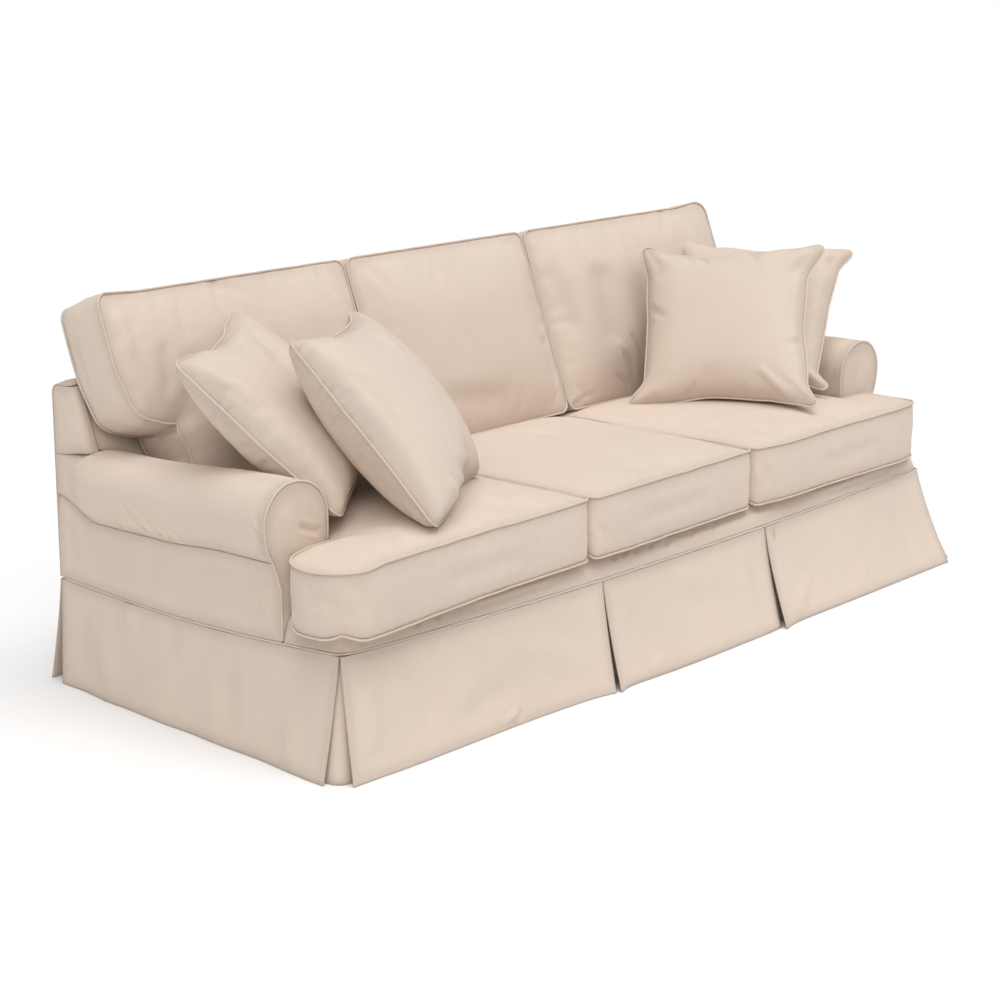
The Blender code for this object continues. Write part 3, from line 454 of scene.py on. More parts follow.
class Wiring:
    """Adds shader nodes to one tree and links them."""

    def __init__(self, tree: bpy.types.NodeTree) -> None:
        """Start on a tree."""
        self.tree = tree

    def node(self, kind: str, **settings: object) -> bpy.types.Node:
        """Add a node.

        Args:
            kind: Its type, such as ShaderNodeMath.
            settings: Properties to set on it.

        Returns:
            The node.
        """
        made = self.tree.nodes.new(kind)
        for key, value in settings.items():
            setattr(made, key, value)
        return made

    def feed(self, node: bpy.types.Node, socket: object, source: object) -> None:
        """Link a socket's source, or set its number."""
        if isinstance(source, bpy.types.NodeSocket):
            self.tree.links.new(source, node.inputs[socket])
        else:
            node.inputs[socket].default_value = source

    def group(self, tree: bpy.types.NodeTree, given: dict[str, object]) -> bpy.types.Node:
        """Add a node group and feed its inputs by name."""
        made = self.node("ShaderNodeGroup", node_tree=tree)
        for socket, source in given.items():
            self.feed(made, socket, source)
        return made

    def math(self, operation: str, first: object, second: object = 0.0) -> bpy.types.NodeSocket:
        """Add a Math node.

        Args:
            operation: Blender's name of the operation.
            first: A number or a socket.
            second: A number or a socket.

        Returns:
            Its output.
        """
        made = self.node("ShaderNodeMath", operation=operation)
        self.feed(made, 0, first)
        self.feed(made, 1, second)
        return made.outputs[0]

    def noise(self, vector: object, scale: float, detail: float = 2.0) -> bpy.types.NodeSocket:
        """Add a noise texture and return its value."""
        made = self.node("ShaderNodeTexNoise", noise_dimensions="3D")
        self.feed(made, "Vector", vector)
        self.feed(made, "Scale", scale)
        self.feed(made, "Detail", detail)
        return made.outputs[0]

    def stretched(self, vector: object, scale: Spot) -> bpy.types.NodeSocket:
        """Multiply a vector by a scale for each axis."""
        made = self.node("ShaderNodeVectorMath", operation="MULTIPLY")
        self.feed(made, 0, vector)
        self.feed(made, 1, scale)
        return made.outputs[0]

    def ranged(self, value: object, low: float, high: float) -> bpy.types.NodeSocket:
        """Map a value of 0 to 1 onto a new range."""
        made = self.node("ShaderNodeMapRange")
        self.feed(made, "Value", value)
        self.feed(made, "To Min", low)
        self.feed(made, "To Max", high)
        return made.outputs[0]


def new_group(
    name: str, inputs: Sequence[tuple[str, str]], outputs: Sequence[str]
) -> tuple[Wiring, dict, dict]:
    """Start a shader node group.

    Args:
        name: The group's name.
        inputs: Pairs of socket name and socket type.
        outputs: Names of its value outputs.

    Returns:
        Its wiring, its inputs by name, and its outputs by name as (node, socket name).
    """
    tree = bpy.data.node_groups.new(name, "ShaderNodeTree")
    for label, kind in inputs:
        tree.interface.new_socket(label, in_out="INPUT", socket_type=kind)
    for label in outputs:
        tree.interface.new_socket(label, in_out="OUTPUT", socket_type="NodeSocketFloat")
    entry = tree.nodes.new("NodeGroupInput")
    leave = tree.nodes.new("NodeGroupOutput")
    sources = {label: entry.outputs[label] for label, _ in inputs}
    return Wiring(tree), sources, {label: leave for label in outputs}


def weave_group() -> bpy.types.NodeTree:
    """Plain weave of cotton yarn: its relief, and the shade of thicker and thinner yarns."""
    wiring, given, out = new_group(
        "plain_weave",
        (
            ("Cloth place", "NodeSocketVector"),
            ("Yarns per metre", "NodeSocketFloat"),
            ("Slub", "NodeSocketFloat"),
        ),
        ("Relief", "Yarn shade"),
    )
    split = wiring.node("ShaderNodeSeparateXYZ")
    wiring.feed(split, 0, given["Cloth place"])
    turns = wiring.math("MULTIPLY", given["Yarns per metre"], math.pi)
    across = wiring.math("SINE", wiring.math("MULTIPLY", split.outputs["X"], turns))
    along = wiring.math("SINE", wiring.math("MULTIPLY", split.outputs["Y"], turns))
    over = wiring.math("MULTIPLY", across, along)
    yarns = wiring.math("ADD", wiring.math("ABSOLUTE", across), wiring.math("ABSOLUTE", along))
    weave = wiring.math("ADD", wiring.math("MULTIPLY", yarns, 0.35), wiring.math("MULTIPLY", over, 0.3))
    weft = wiring.noise(wiring.stretched(given["Cloth place"], (45.0, 950.0, 1.0)), 1.0)
    warp = wiring.noise(wiring.stretched(given["Cloth place"], (950.0, 45.0, 1.0)), 1.0)
    slubs = wiring.math("SUBTRACT", wiring.math("ADD", weft, warp), 1.0)
    slubs = wiring.math("MULTIPLY", slubs, given["Slub"])
    wiring.feed(out["Relief"], "Relief", wiring.math("ADD", weave, slubs))
    wiring.feed(out["Yarn shade"], "Yarn shade", slubs)
    return wiring.tree


def mottle_group() -> bpy.types.NodeTree:
    """Washed look of the cotton: broad soft patches and smaller ones, around 0."""
    wiring, given, out = new_group(
        "washed_patches",
        (("Place", "NodeSocketVector"), ("Broad", "NodeSocketFloat"), ("Fine", "NodeSocketFloat")),
        ("Shade",),
    )
    broad = wiring.math("SUBTRACT", wiring.noise(given["Place"], 2.3, 3.0), 0.5)
    fine = wiring.math("SUBTRACT", wiring.noise(given["Place"], 14.0, 4.0), 0.5)
    shade = wiring.math("MULTIPLY", broad, given["Broad"])
    shade = wiring.math("ADD", shade, wiring.math("MULTIPLY", fine, given["Fine"]))
    wiring.feed(out["Shade"], "Shade", shade)
    return wiring.tree


def wear_group() -> bpy.types.NodeTree:
    """Painted shade beside a seam, darker nearer to it, and the creases of its stitches as relief."""
    wiring, given, out = new_group(
        "seam_wear",
        (("Seam", "NodeSocketFloat"), ("Cloth place", "NodeSocketVector"), ("Depth", "NodeSocketFloat")),
        ("Shade", "Relief"),
    )
    pucker = wiring.noise(wiring.stretched(given["Cloth place"], (90.0, 90.0, 1.0)), 1.0)
    pucker = wiring.math("MULTIPLY", wiring.math("SUBTRACT", pucker, 0.5), given["Seam"])
    wiring.feed(out["Relief"], "Relief", wiring.math("MULTIPLY", pucker, given["Depth"]))
    # Shade is painted shade, darkest right at the seam.
    wiring.feed(out["Shade"], "Shade", wiring.math("MULTIPLY", given["Seam"], -1.0))
    return wiring.tree


@dataclass(frozen=True)
class CottonFinish:
    """Finish of one cut of the cotton."""

    slot: Slot
    colour: Spot
    yarns: float = 1150.0
    slub: float = 0.9
    broad: float = 0.12
    fine: float = 0.06
    # Depth of the painted shade beside the seams.
    seam_shade: float = 0.14
    yarn_shade: float = 0.10
    pucker: float = 4.0
    relief: float = 0.00022
    roughness: float = 0.9
    yarn_roughness: float = 0.08
    sheen: float = 0.16
    sheen_roughness: float = 0.55
    specular: float = 0.25

    def material(self, groups: dict[str, bpy.types.NodeTree]) -> bpy.types.Material:
        """Build the material.

        Args:
            groups: The shared node groups by name.

        Returns:
            The new material.
        """
        made = bpy.data.materials.new("finish_" + self.slot.value)
        made.use_nodes = True
        wiring = Wiring(made.node_tree)
        shader = made.node_tree.nodes["Principled BSDF"]
        spot = wiring.node("ShaderNodeTexCoord").outputs["Object"]
        cloth = wiring.node("ShaderNodeUVMap", uv_map="cloth").outputs["UV"]
        seam = wiring.node("ShaderNodeAttribute", attribute_name="seam").outputs["Fac"]
        yarns = {"Cloth place": cloth, "Yarns per metre": self.yarns, "Slub": self.slub}
        weave = wiring.group(groups["weave"], yarns)
        mottle = wiring.group(groups["mottle"], {"Place": spot, "Broad": self.broad, "Fine": self.fine})
        # Painted shade beside the seams, with the puckers of their stitches as relief.
        wear = wiring.group(groups["wear"], {"Seam": seam, "Cloth place": cloth, "Depth": self.pucker})

        shade = wiring.math("ADD", 1.0, mottle.outputs["Shade"])
        # Darken by the painted seam shade, seam_shade deep.
        shade = wiring.math("ADD", shade, wiring.math("MULTIPLY", wear.outputs["Shade"], self.seam_shade))
        slubs = weave.outputs["Yarn shade"]
        shade = wiring.math("ADD", shade, wiring.math("MULTIPLY", slubs, self.yarn_shade))
        tint = wiring.node("ShaderNodeVectorMath", operation="SCALE")
        wiring.feed(tint, 0, self.colour)
        wiring.feed(tint, "Scale", shade)
        wiring.feed(shader, "Base Color", tint.outputs[0])
        rough = wiring.math("ADD", self.roughness, wiring.math("MULTIPLY", slubs, self.yarn_roughness))
        wiring.feed(shader, "Roughness", rough)
        relief = wiring.math("ADD", weave.outputs["Relief"], wear.outputs["Relief"])
        bump = wiring.node("ShaderNodeBump")
        wiring.feed(bump, "Strength", 1.0)
        wiring.feed(bump, "Distance", self.relief)
        wiring.feed(bump, "Height", relief)
        wiring.feed(shader, "Normal", bump.outputs[0])
        shader.inputs["Sheen Weight"].default_value = self.sheen
        shader.inputs["Sheen Roughness"].default_value = self.sheen_roughness
        shader.inputs["Specular IOR Level"].default_value = self.specular
        return made


NATURAL: Spot = (0.741, 0.614, 0.514)
FINISHES = (
    CottonFinish(Slot.BODY, NATURAL),
    CottonFinish(Slot.CUSHION, NATURAL, broad=0.10),
    CottonFinish(Slot.PILLOW, (0.741, 0.616, 0.517), broad=0.08),
    CottonFinish(Slot.WELT, (0.735, 0.606, 0.505), yarns=1300.0, broad=0.05, seam_shade=0.0),
    CottonFinish(Slot.UNDERLAY, (0.725, 0.60, 0.50)),
)


class Wardrobe:
    """Holds the finished materials and dresses each piece."""

    def __init__(self) -> None:
        """Build the shared groups and every finish once."""
        groups = {"weave": weave_group(), "mottle": mottle_group(), "wear": wear_group()}
        self.materials = {finish.slot: finish.material(groups) for finish in FINISHES}
        self.count = 0
        self.faces = 0

    def dress(self, item: bpy.types.Object, slot: Slot, *nodes: str) -> bpy.types.Object:
        """Give a piece the material of its slot and its body, and hide the CAD nodes that it replaces.

        Args:
            item: The finished piece.
            slot: The material slot that it takes its finish from.
            nodes: CAD nodes that it replaces.

        Returns:
            The same piece.
        """
        item.data.materials.clear()
        item.data.materials.append(self.materials[slot])
        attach(item, "root")
        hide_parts(*nodes)
        self.count += 1
        log.info("piece %d: %s, %d faces", self.count, item.name, len(item.data.polygons))
        self.faces += len(item.data.polygons)
        return item


# Meshes ---------------------------------------------------------------------------------------------


def new_object(name: str, points: Array, faces: Array, cloth: Array, seam: Array) -> bpy.types.Object:
    """Make a smooth shaded mesh object.

    Args:
        name: The piece's name.
        points: Its vertices.
        faces: Four vertex numbers for each face.
        cloth: For each corner of each face, its place on the cut cloth, in metres.
        seam: For each vertex, how close it is to a seam, from 0 to 1.

    Returns:
        The object, linked to the scene.
    """
    mesh = bpy.data.meshes.new(name)
    mesh.from_pydata(points.tolist(), [], faces.tolist())
    layer = mesh.uv_layers.new(name="cloth")
    layer.data.foreach_set("uv", cloth.astype(np.float32).ravel())
    near = mesh.attributes.new("seam", "FLOAT", "POINT")
    near.data.foreach_set("value", seam.astype(np.float32))
    mesh.shade_smooth()
    mesh.update()
    item = bpy.data.objects.new(name, mesh)
    bpy.context.scene.collection.objects.link(item)
    return item


def grid_faces(rows: int, columns: int, closed: bool = False) -> Array:
    """Faces of a grid of points.

    Args:
        rows: Number of rows of points.
        columns: Points in each row.
        closed: Whether the last column joins the first.

    Returns:
        Four vertex numbers for each face.
    """
    across = np.arange(columns if closed else columns - 1)
    ahead = (across + 1) % columns
    start = np.arange(rows - 1)[:, None] * columns
    ring = [start + across, start + ahead, start + columns + ahead, start + columns + across]
    return np.stack(ring, axis=-1).reshape(-1, 4)


def grid_ring(number: Array) -> Array:
    """Faces between the rows and columns of a grid of vertex numbers, kept in the grid's own form."""
    return np.stack([number[:-1, :-1], number[1:, :-1], number[1:, 1:], number[:-1, 1:]], axis=-1)


class Tailor:
    """Sews sheets and welts, and dresses them."""

    def __init__(self, wardrobe: Wardrobe) -> None:
        """Take the finished materials."""
        self.wardrobe = wardrobe

    def sheet(
        self,
        name: str,
        points: Array,
        facing: Spot,
        held: Held,
        slot: Slot = Slot.BODY,
        folds: Sequence[Fold] = (),
        uneven: float = 0.0008,
        rests_on: Sequence[str] = (),
    ) -> bpy.types.Object:
        """Sew a sheet from a grid of points.

        Args:
            name: The node that it stands for.
            points: Rows and columns of points down and along the cloth.
            facing: Rough way that its outer face points.
            held: How it is held; not used.
            slot: Its material slot.
            folds: Listed ridges and troughs.
            uneven: Height of its soft unevenness.
            rests_on: Names of what it hangs from or lies on; not used.

        Returns:
            The finished piece.
        """
        rows, columns, _ = points.shape
        faces = grid_faces(rows, columns)
        across = np.linalg.norm(np.diff(points, axis=1), axis=2).mean(axis=0)
        down = np.linalg.norm(np.diff(points, axis=0), axis=2).mean(axis=1)
        along_u = np.concatenate([[0.0], np.cumsum(across)])
        along_v = np.concatenate([[0.0], np.cumsum(down)])
        place_u, place_v = np.meshgrid(along_u, along_v)
        cut = np.stack([place_u, place_v], axis=-1).reshape(-1, 2)
        edge_u = np.minimum(place_u, along_u[-1] - place_u)
        edge_v = np.minimum(place_v, along_v[-1] - place_v)
        edge = np.minimum(edge_u, edge_v).ravel()
        corners = points.reshape(-1, 3)[faces]
        normal = np.cross(corners[:, 2] - corners[:, 0], corners[:, 3] - corners[:, 1])
        area = 0.5 * np.linalg.norm(normal, axis=1).sum()
        if normal.sum(axis=0) @ np.array(facing) < 0.0:
            faces = faces[:, ::-1]
        seam = 1.0 - ease(edge, 0.0, CLOTH.seam_shade_reach)
        item = new_object(name + "_cloth", points.reshape(-1, 3), faces, cut[faces.ravel()], seam)
        shape_cloth(item, folds, uneven, seed_of(name), name in FINE_PIECES)
        thicken(item)
        width, length = round(float(along_u[-1]), 3), round(float(along_v[-1]), 3)
        flat_width = max(width, round(area / length, 3))
        area = min(area, flat_width * length)
        return self.wardrobe.dress(item, slot, name)

    def welt(self, name: str, path: Array, closed: bool, uneven: float = 0.0004) -> bpy.types.Object:
        """Sew a covered cord along a path.

        Args:
            name: The node that it stands for.
            path: Points along its middle.
            closed: Whether its ends meet.
            uneven: How far it wanders from the path.

        Returns:
            The finished piece.
        """
        path = even_line(path, CLOTH.welt_pitch, closed)
        wander = np.stack([waves(path, 0.07, index + len(name)) for index in (3, 5, 7)], axis=1)
        path = path + uneven * wander
        before = np.roll(path, 1, axis=0)
        after = np.roll(path, -1, axis=0)
        if not closed:
            before[0], after[-1] = path[0], path[-1]
        tangent = after - before
        tangent /= np.linalg.norm(tangent, axis=1)[:, None]
        sides = CLOTH.welt_sides
        normal = np.cross(tangent[0], (0.0, 0.0, 1.0))
        if np.linalg.norm(normal) < 0.1:
            normal = np.cross(tangent[0], (0.0, 1.0, 0.0))
        rings = []
        angles = 2.0 * math.pi * np.arange(sides) / sides
        for index, way in enumerate(tangent):
            normal = normal - way * (normal @ way)
            normal /= np.linalg.norm(normal)
            other = np.cross(way, normal)
            ring = np.cos(angles)[:, None] * normal + np.sin(angles)[:, None] * other
            rings.append(path[index] + CLOTH.welt_radius * ring)
        points = np.array(rings)
        if closed:
            points = np.concatenate([points, points[:1]])
        faces = grid_faces(len(points), sides, closed=True)
        along = lengths(points[:, 0])
        turn = np.arange(sides) / sides * 2.0 * math.pi * CLOTH.welt_radius
        cut = np.stack([along[faces // sides], turn[faces % sides]], axis=-1)
        seam = np.zeros(len(points) * sides)
        item = new_object(name + "_cord", points.reshape(-1, 3), faces, cut.reshape(-1, 2), seam)
        close_mesh(item.data, closed)
        return self.wardrobe.dress(item, Slot.WELT, name)


def close_mesh(mesh: bpy.types.Mesh, closed: bool) -> None:
    """Join a tube's first and last ring, or cap its ends, and point its faces out."""
    shape = bmesh.new()
    shape.from_mesh(mesh)
    if closed:
        bmesh.ops.remove_doubles(shape, verts=shape.verts, dist=0.00005)
    else:
        rim = [edge for edge in shape.edges if edge.is_boundary]
        bmesh.ops.holes_fill(shape, edges=rim, sides=0)
    bmesh.ops.recalc_face_normals(shape, faces=shape.faces)
    shape.to_mesh(mesh)
    shape.free()
    mesh.shade_smooth()
    mesh.update()


def refine(item: bpy.types.Object) -> None:
    """Halve the mesh's pitch, so that it can take fine folds."""
    finer = item.modifiers.new("finer", "SUBSURF")
    finer.levels = 1
    finer.render_levels = 1
    finer.boundary_smooth = "PRESERVE_CORNERS"
    apply_modifier(item, finer.name)


def seam_nearness(mesh: bpy.types.Mesh) -> Array:
    """How close each vertex is to a seam, from 0 to 1."""
    near = np.empty(len(mesh.vertices), dtype=np.float32)
    mesh.attributes["seam"].data.foreach_get("value", near)
    return near.astype(float)


def thicken(item: bpy.types.Object) -> None:
    """Give a sheet its real thickness."""
    made = item.modifiers.new("cloth", "SOLIDIFY")
    made.thickness = CLOTH.thickness
    made.offset = 0.0
    apply_modifier(item, made.name)


def apply_modifier(item: bpy.types.Object, name: str) -> None:
    """Apply one modifier of an object."""
    bpy.ops.object.select_all(action="DESELECT")
    item.select_set(True)
    bpy.context.view_layer.objects.active = item
    bpy.ops.object.modifier_apply(modifier=name)


# Rail line ------------------------------------------------------------------------------------------


class RailLine:
    """The line that the skirt and the body cover share; its points are (x, depth, height)."""

    def front(self, x: Array) -> Array:
        """Front stretch, which bows forward and sags between the corners."""
        arch = np.cos(np.clip(0.5 * math.pi * np.abs(x) / RAIL.half, 0.0, 0.5 * math.pi)) ** 0.7
        return np.stack([x, -RAIL.bulge * arch, RAIL.height - RAIL.front_sag * arch], axis=-1)

    def side(self, side: Side, depth: Array) -> Array:
        """Side stretch, which sags between its corners."""
        share = (depth - RAIL.corner) / (RAIL.depth - 2.0 * RAIL.corner)
        arch = np.sin(math.pi * np.clip(share, 0.0, 1.0))
        x = np.full_like(arch, side.value * RAIL.half)
        return np.stack([x, depth, RAIL.height - RAIL.side_sag * arch], axis=-1)

    def corner(self, side: Side, front: bool) -> Array:
        """Rounded corner, from the side stretch to the front or back stretch."""
        angle = np.linspace(0.0, 0.5 * math.pi, 7)
        middle = RAIL.corner if front else RAIL.depth - RAIL.corner
        outward = -1.0 if front else 1.0
        x = side.value * (RAIL.half - RAIL.corner + RAIL.corner * np.cos(angle))
        depth = middle + outward * RAIL.corner * np.sin(angle)
        return np.stack([x, depth, np.full_like(x, RAIL.height)], axis=-1)

    def front_run(self) -> Array:
        """Front stretch between its two corners."""
        reach = RAIL.half - RAIL.corner
        return self.front(np.linspace(-reach, reach, 160)[1:-1])

    def band(self) -> Array:
        """From the left facing, round the front, to the right facing."""
        end = ROLL.facing_depth - CLOTH.welt_reach - CLOTH.gap
        left = self.side(Side.LEFT, np.linspace(end, RAIL.corner, 12)[:-1])
        right = self.side(Side.RIGHT, np.linspace(RAIL.corner, end, 12)[1:])
        first, last = self.corner(Side.LEFT, True), self.corner(Side.RIGHT, True)[::-1]
        return smooth_line(np.vstack([left, first, self.front_run(), last, right]), 2)

    def whole(self) -> Array:
        """The closed line all round."""
        depths = np.linspace(RAIL.corner, RAIL.depth - RAIL.corner, 80)
        reach = RAIL.half - RAIL.corner
        xs = np.linspace(reach, -reach, 160)[1:-1]
        back = np.stack([xs, np.full_like(xs, RAIL.depth), np.full_like(xs, RAIL.height)], axis=-1)
        pieces = [
            self.side(Side.LEFT, depths)[-2:0:-1],
            self.corner(Side.LEFT, True),
            self.front_run(),
            self.corner(Side.RIGHT, True)[::-1],
            self.side(Side.RIGHT, depths)[1:-1],
            self.corner(Side.RIGHT, False),
            back,
            self.corner(Side.LEFT, False)[::-1],
        ]
        return smooth_line(np.vstack(pieces), 2, closed=True)


# Body cover -----------------------------------------------------------------------------------------


def inside_back_depth(height: Array) -> Array:
    """Depth of the inside back's face at a height."""
    return BACK.top_front - (BACK.top - np.asarray(height, dtype=float)) * math.tan(BACK.lean)


def roll_reach(depth: Array, grow: float = 0.0) -> tuple[Array, Array, Array]:
    """How far the arm roll reaches from its middle.

    Args:
        depth: Depths behind the front rail.
        grow: How far outside the roll's section the points lie.

    Returns:
        The reach out, up and down.
    """
    taper = ease(depth, ROLL.taper_start, RAIL.depth)
    sag = ROLL.sag * ease(depth, ROLL.sag_start, ROLL.sag_end)
    out = (ROLL.out + grow) * (1.0 - taper) + (RAIL.half - ROLL.x + ROLL.end_out) * taper
    up = (ROLL.up - sag + grow) * (1.0 - taper) + ROLL.end_up * taper
    down = (ROLL.down + grow) * (1.0 - taper) + ROLL.end_down * taper
    return out, up, down


def notch_height(x: Array) -> Array:
    """Lower edge of the inside back above the arms, at distances out from the middle."""
    height = np.full_like(x, ROLL.z + ROLL.end_up)
    for _ in range(5):
        out, up, _ = roll_reach(inside_back_depth(height))
        reach = np.where(x < ROLL.x, ROLL.inside, out)
        share = np.maximum(0.0, 1.0 - ((x - ROLL.x) / reach) ** 2)
        height = ROLL.z + up * np.sqrt(share) - between(x, BACK.notch)
    return np.where(x > BACK.notch[-1][0] + 0.004, BACK.join + BACK.join_room, height)


def shoulder(x: Array) -> Array:
    """Drop of the back's top edge as it rounds over at each end."""
    share = ease(np.abs(x), RAIL.half - BACK.shoulder_reach, RAIL.half)
    return BACK.round * (1.0 - np.sqrt(1.0 - BACK.shoulder_depth * share * share))


class BodyCover:
    """The fitted cover of the sofa frame, above the skirt."""

    tuck = 0.018

    def __init__(self, tailor: Tailor) -> None:
        """Take the tailor and the rail line."""
        self.tailor = tailor
        self.rail = RailLine()

    def front_band(self) -> None:
        """Band between the deck's front edge and the skirt's welt, wrapped round both front corners."""
        line = even_line(self.rail.band(), CLOTH.pitch)
        down = np.linspace(0.0, 1.0, 9)[:, None]
        foot_x, foot_depth, foot_height = line[:, 0], line[:, 1], line[:, 2] + CLOTH.welt_reach
        edge = np.maximum(foot_depth, self.tuck)
        edge_x = foot_x * (1.0 - self.tuck / RAIL.half)
        swell = np.sin(math.pi * down) * 0.005 * (foot_depth < 0.0)
        depth = edge + (foot_depth - edge) * down - swell
        height = BACK.deck_top + (foot_height - BACK.deck_top) * down
        points = place(edge_x + (foot_x - edge_x) * down**0.7, depth, height)
        self.tailor.sheet("front_band", points, (0.0, -1.0, 0.0), Held.STRETCHED, folds=BAND_FOLDS)

    def deck(self) -> None:
        """Cloth under the seat cushions, with a shelf in front of each arm."""
        edge = RAIL.half - CLOTH.half_solid - CLOTH.gap
        inner = BACK.inner_half - CLOTH.half_solid - CLOTH.gap
        back = inside_back_depth(BACK.deck_top) - CLOTH.half_solid - 3.0 * CLOTH.gap
        shelf = ROLL.facing_depth - CLOTH.welt_reach - CLOTH.gap
        behind = np.linspace(shelf + 0.0005, back, 30)
        depth = np.concatenate([np.linspace(self.tuck + 0.004, shelf, 10), behind])
        half = np.where(depth <= shelf, edge - self.tuck, inner)
        across = np.linspace(-1.0, 1.0, 70)
        x = half[:, None] * across
        height = np.full_like(x, BACK.deck_top - CLOTH.half_solid)
        points = place(x, np.broadcast_to(depth[:, None], x.shape), height)
        self.tailor.sheet("deck", points, (0.0, 0.0, 1.0), Held.STRETCHED, Slot.UNDERLAY, uneven=0.0003)

    def inside_back(self) -> None:
        """Slanted cloth behind the back cushions, wider above the arms."""
        narrow = BACK.inner_half - CLOTH.half_solid - 2.0 * CLOTH.gap
        wide = RAIL.half - CLOTH.solid - BACK.wrap - 0.3 * BACK.wrap_lap
        top = BACK.top - CLOTH.half_solid - 2.0 * CLOTH.gap
        wing = np.linspace(narrow + 0.0006, wide, 16)
        x = np.concatenate([-wing[::-1], np.linspace(-narrow, narrow, 90), wing])
        low = np.where(np.abs(x) > narrow + 0.0003, notch_height(np.abs(x)), BACK.deck_top - CLOTH.solid)
        height = low + (top - low) * np.linspace(0.0, 1.0, 44)[:, None]
        depth = inside_back_depth(height) + CLOTH.half_solid / math.cos(BACK.lean)
        points = place(np.broadcast_to(x, height.shape), depth, height)
        self.tailor.sheet("inside_back", points, (0.0, -1.0, 0.4), Held.STRETCHED, uneven=0.0004)

    def outside_back(self) -> None:
        """Cloth from the skirt's welt up the back and over its rounded top."""
        turn = np.linspace(0.0, 0.5 * math.pi, 10)
        straight = np.linspace(RAIL.height + CLOTH.welt_reach, BACK.top - BACK.round, 40)[:-1]
        edge = BACK.top_front - 0.0013
        over = np.linspace(RAIL.depth - BACK.round, edge, 12)[1:]
        depth = np.concatenate([
            np.full_like(straight, RAIL.depth), RAIL.depth - BACK.round + BACK.round * np.cos(turn), over,
        ])[:, None]
        height = np.concatenate([
            straight, BACK.top - BACK.round + BACK.round * np.sin(turn), np.full_like(over, BACK.top),
        ])[:, None]
        across = np.linspace(-1.0, 1.0, 190)
        spread = RAIL.half * np.sin(0.5 * math.pi * across) * 0.12 + RAIL.half * across * 0.88
        x = np.broadcast_to(spread, (len(depth), len(spread)))
        rise = np.clip((height - RAIL.height) / (BACK.top - RAIL.height), 0.0, 1.0)
        belly = BACK.belly * np.cos(0.5 * math.pi * x / RAIL.half) * np.sin(math.pi * rise)
        drop = ease(height, BACK.shoulder_start, BACK.top) * shoulder(x)
        near = np.clip(1.0 - (depth - edge) / BACK.wrap, 0.0, 1.0) * (height > BACK.top - 0.5 * BACK.round)
        x = x * (1.0 - BACK.wrap * (1.0 - np.sqrt(1.0 - near**2)) / RAIL.half)
        points = place(x, depth + belly, height - drop)
        facing = (0.0, 1.0, 0.3)
        self.tailor.sheet("outside_back", points, facing, Held.HUNG, folds=OUTSIDE_BACK_FOLDS, uneven=0.0016)

    @staticmethod
    def post_join(depth: Array) -> Array:
        """Height at which the arm roll's cloth meets the back's side panel."""
        share = ease(depth, float(inside_back_depth(BACK.join)), RAIL.depth)
        return BACK.join + (BACK.join_back - BACK.join) * share

    def back_side(self, side: Side) -> None:
        """Side panel of the frame back, above the arm; its front edge is turned in round the corner."""
        share = np.linspace(0.0, 1.0, 26)[:, None]
        back = RAIL.depth - CLOTH.half_solid - 2.0 * CLOTH.gap
        radius = BACK.round - CLOTH.half_solid - 2.0 * CLOTH.gap
        across = np.linspace(0.0, 1.0, 20)[None, :]
        height = BACK.join + (BACK.top - BACK.join) * share + 0.0 * across
        for _ in range(6):
            start = inside_back_depth(height) - CLOTH.solid + BACK.wrap
            depth = start + (back - start) * across
            bend = np.clip(depth - RAIL.depth + BACK.round, 0.0, radius)
            top = BACK.top - BACK.round + np.sqrt(radius**2 - bend**2)
            top = top - ease(top, BACK.shoulder_start, BACK.top) * shoulder(np.full_like(top, RAIL.half))
            low = self.post_join(depth) + CLOTH.gap
            height = low + (top - low) * share
        flat = RAIL.half - CLOTH.half_solid
        turn = np.linspace(0.5 * math.pi, 0.0, 7)[None, :-1]
        bend_x = flat - BACK.wrap * (1.0 - np.cos(turn)) + 0.0 * share
        bend_depth = depth[:, :1] - BACK.wrap * np.sin(turn)
        lap_x = flat - BACK.wrap - np.linspace(BACK.wrap_lap, 0.0, 5)[None, :-1] + 0.0 * share
        lap_depth = depth[:, :1] - BACK.wrap + 0.0 * lap_x
        x = np.hstack([lap_x, bend_x, np.full_like(depth, flat)])
        depth = np.hstack([lap_depth, bend_depth, depth])
        height = np.hstack([np.repeat(height[:, :1], 10, axis=1), height])
        points = place(side.value * x, depth, height)
        folds = BACK_SIDE_FOLDS[side]
        name = "back_side_" + side.word
        self.tailor.sheet(name, points, (side.value, -0.2, 0.0), Held.STRETCHED, folds=folds)

    def welt(self) -> None:
        """Welt on the rail line."""
        self.tailor.welt("welt_skirt", place(*self.rail.whole().T), True)

    def build(self) -> None:
        """Sew every piece."""
        self.front_band()
        self.deck()
        self.inside_back()
        self.outside_back()
        for side in Side:
            self.back_side(side)
        self.welt()


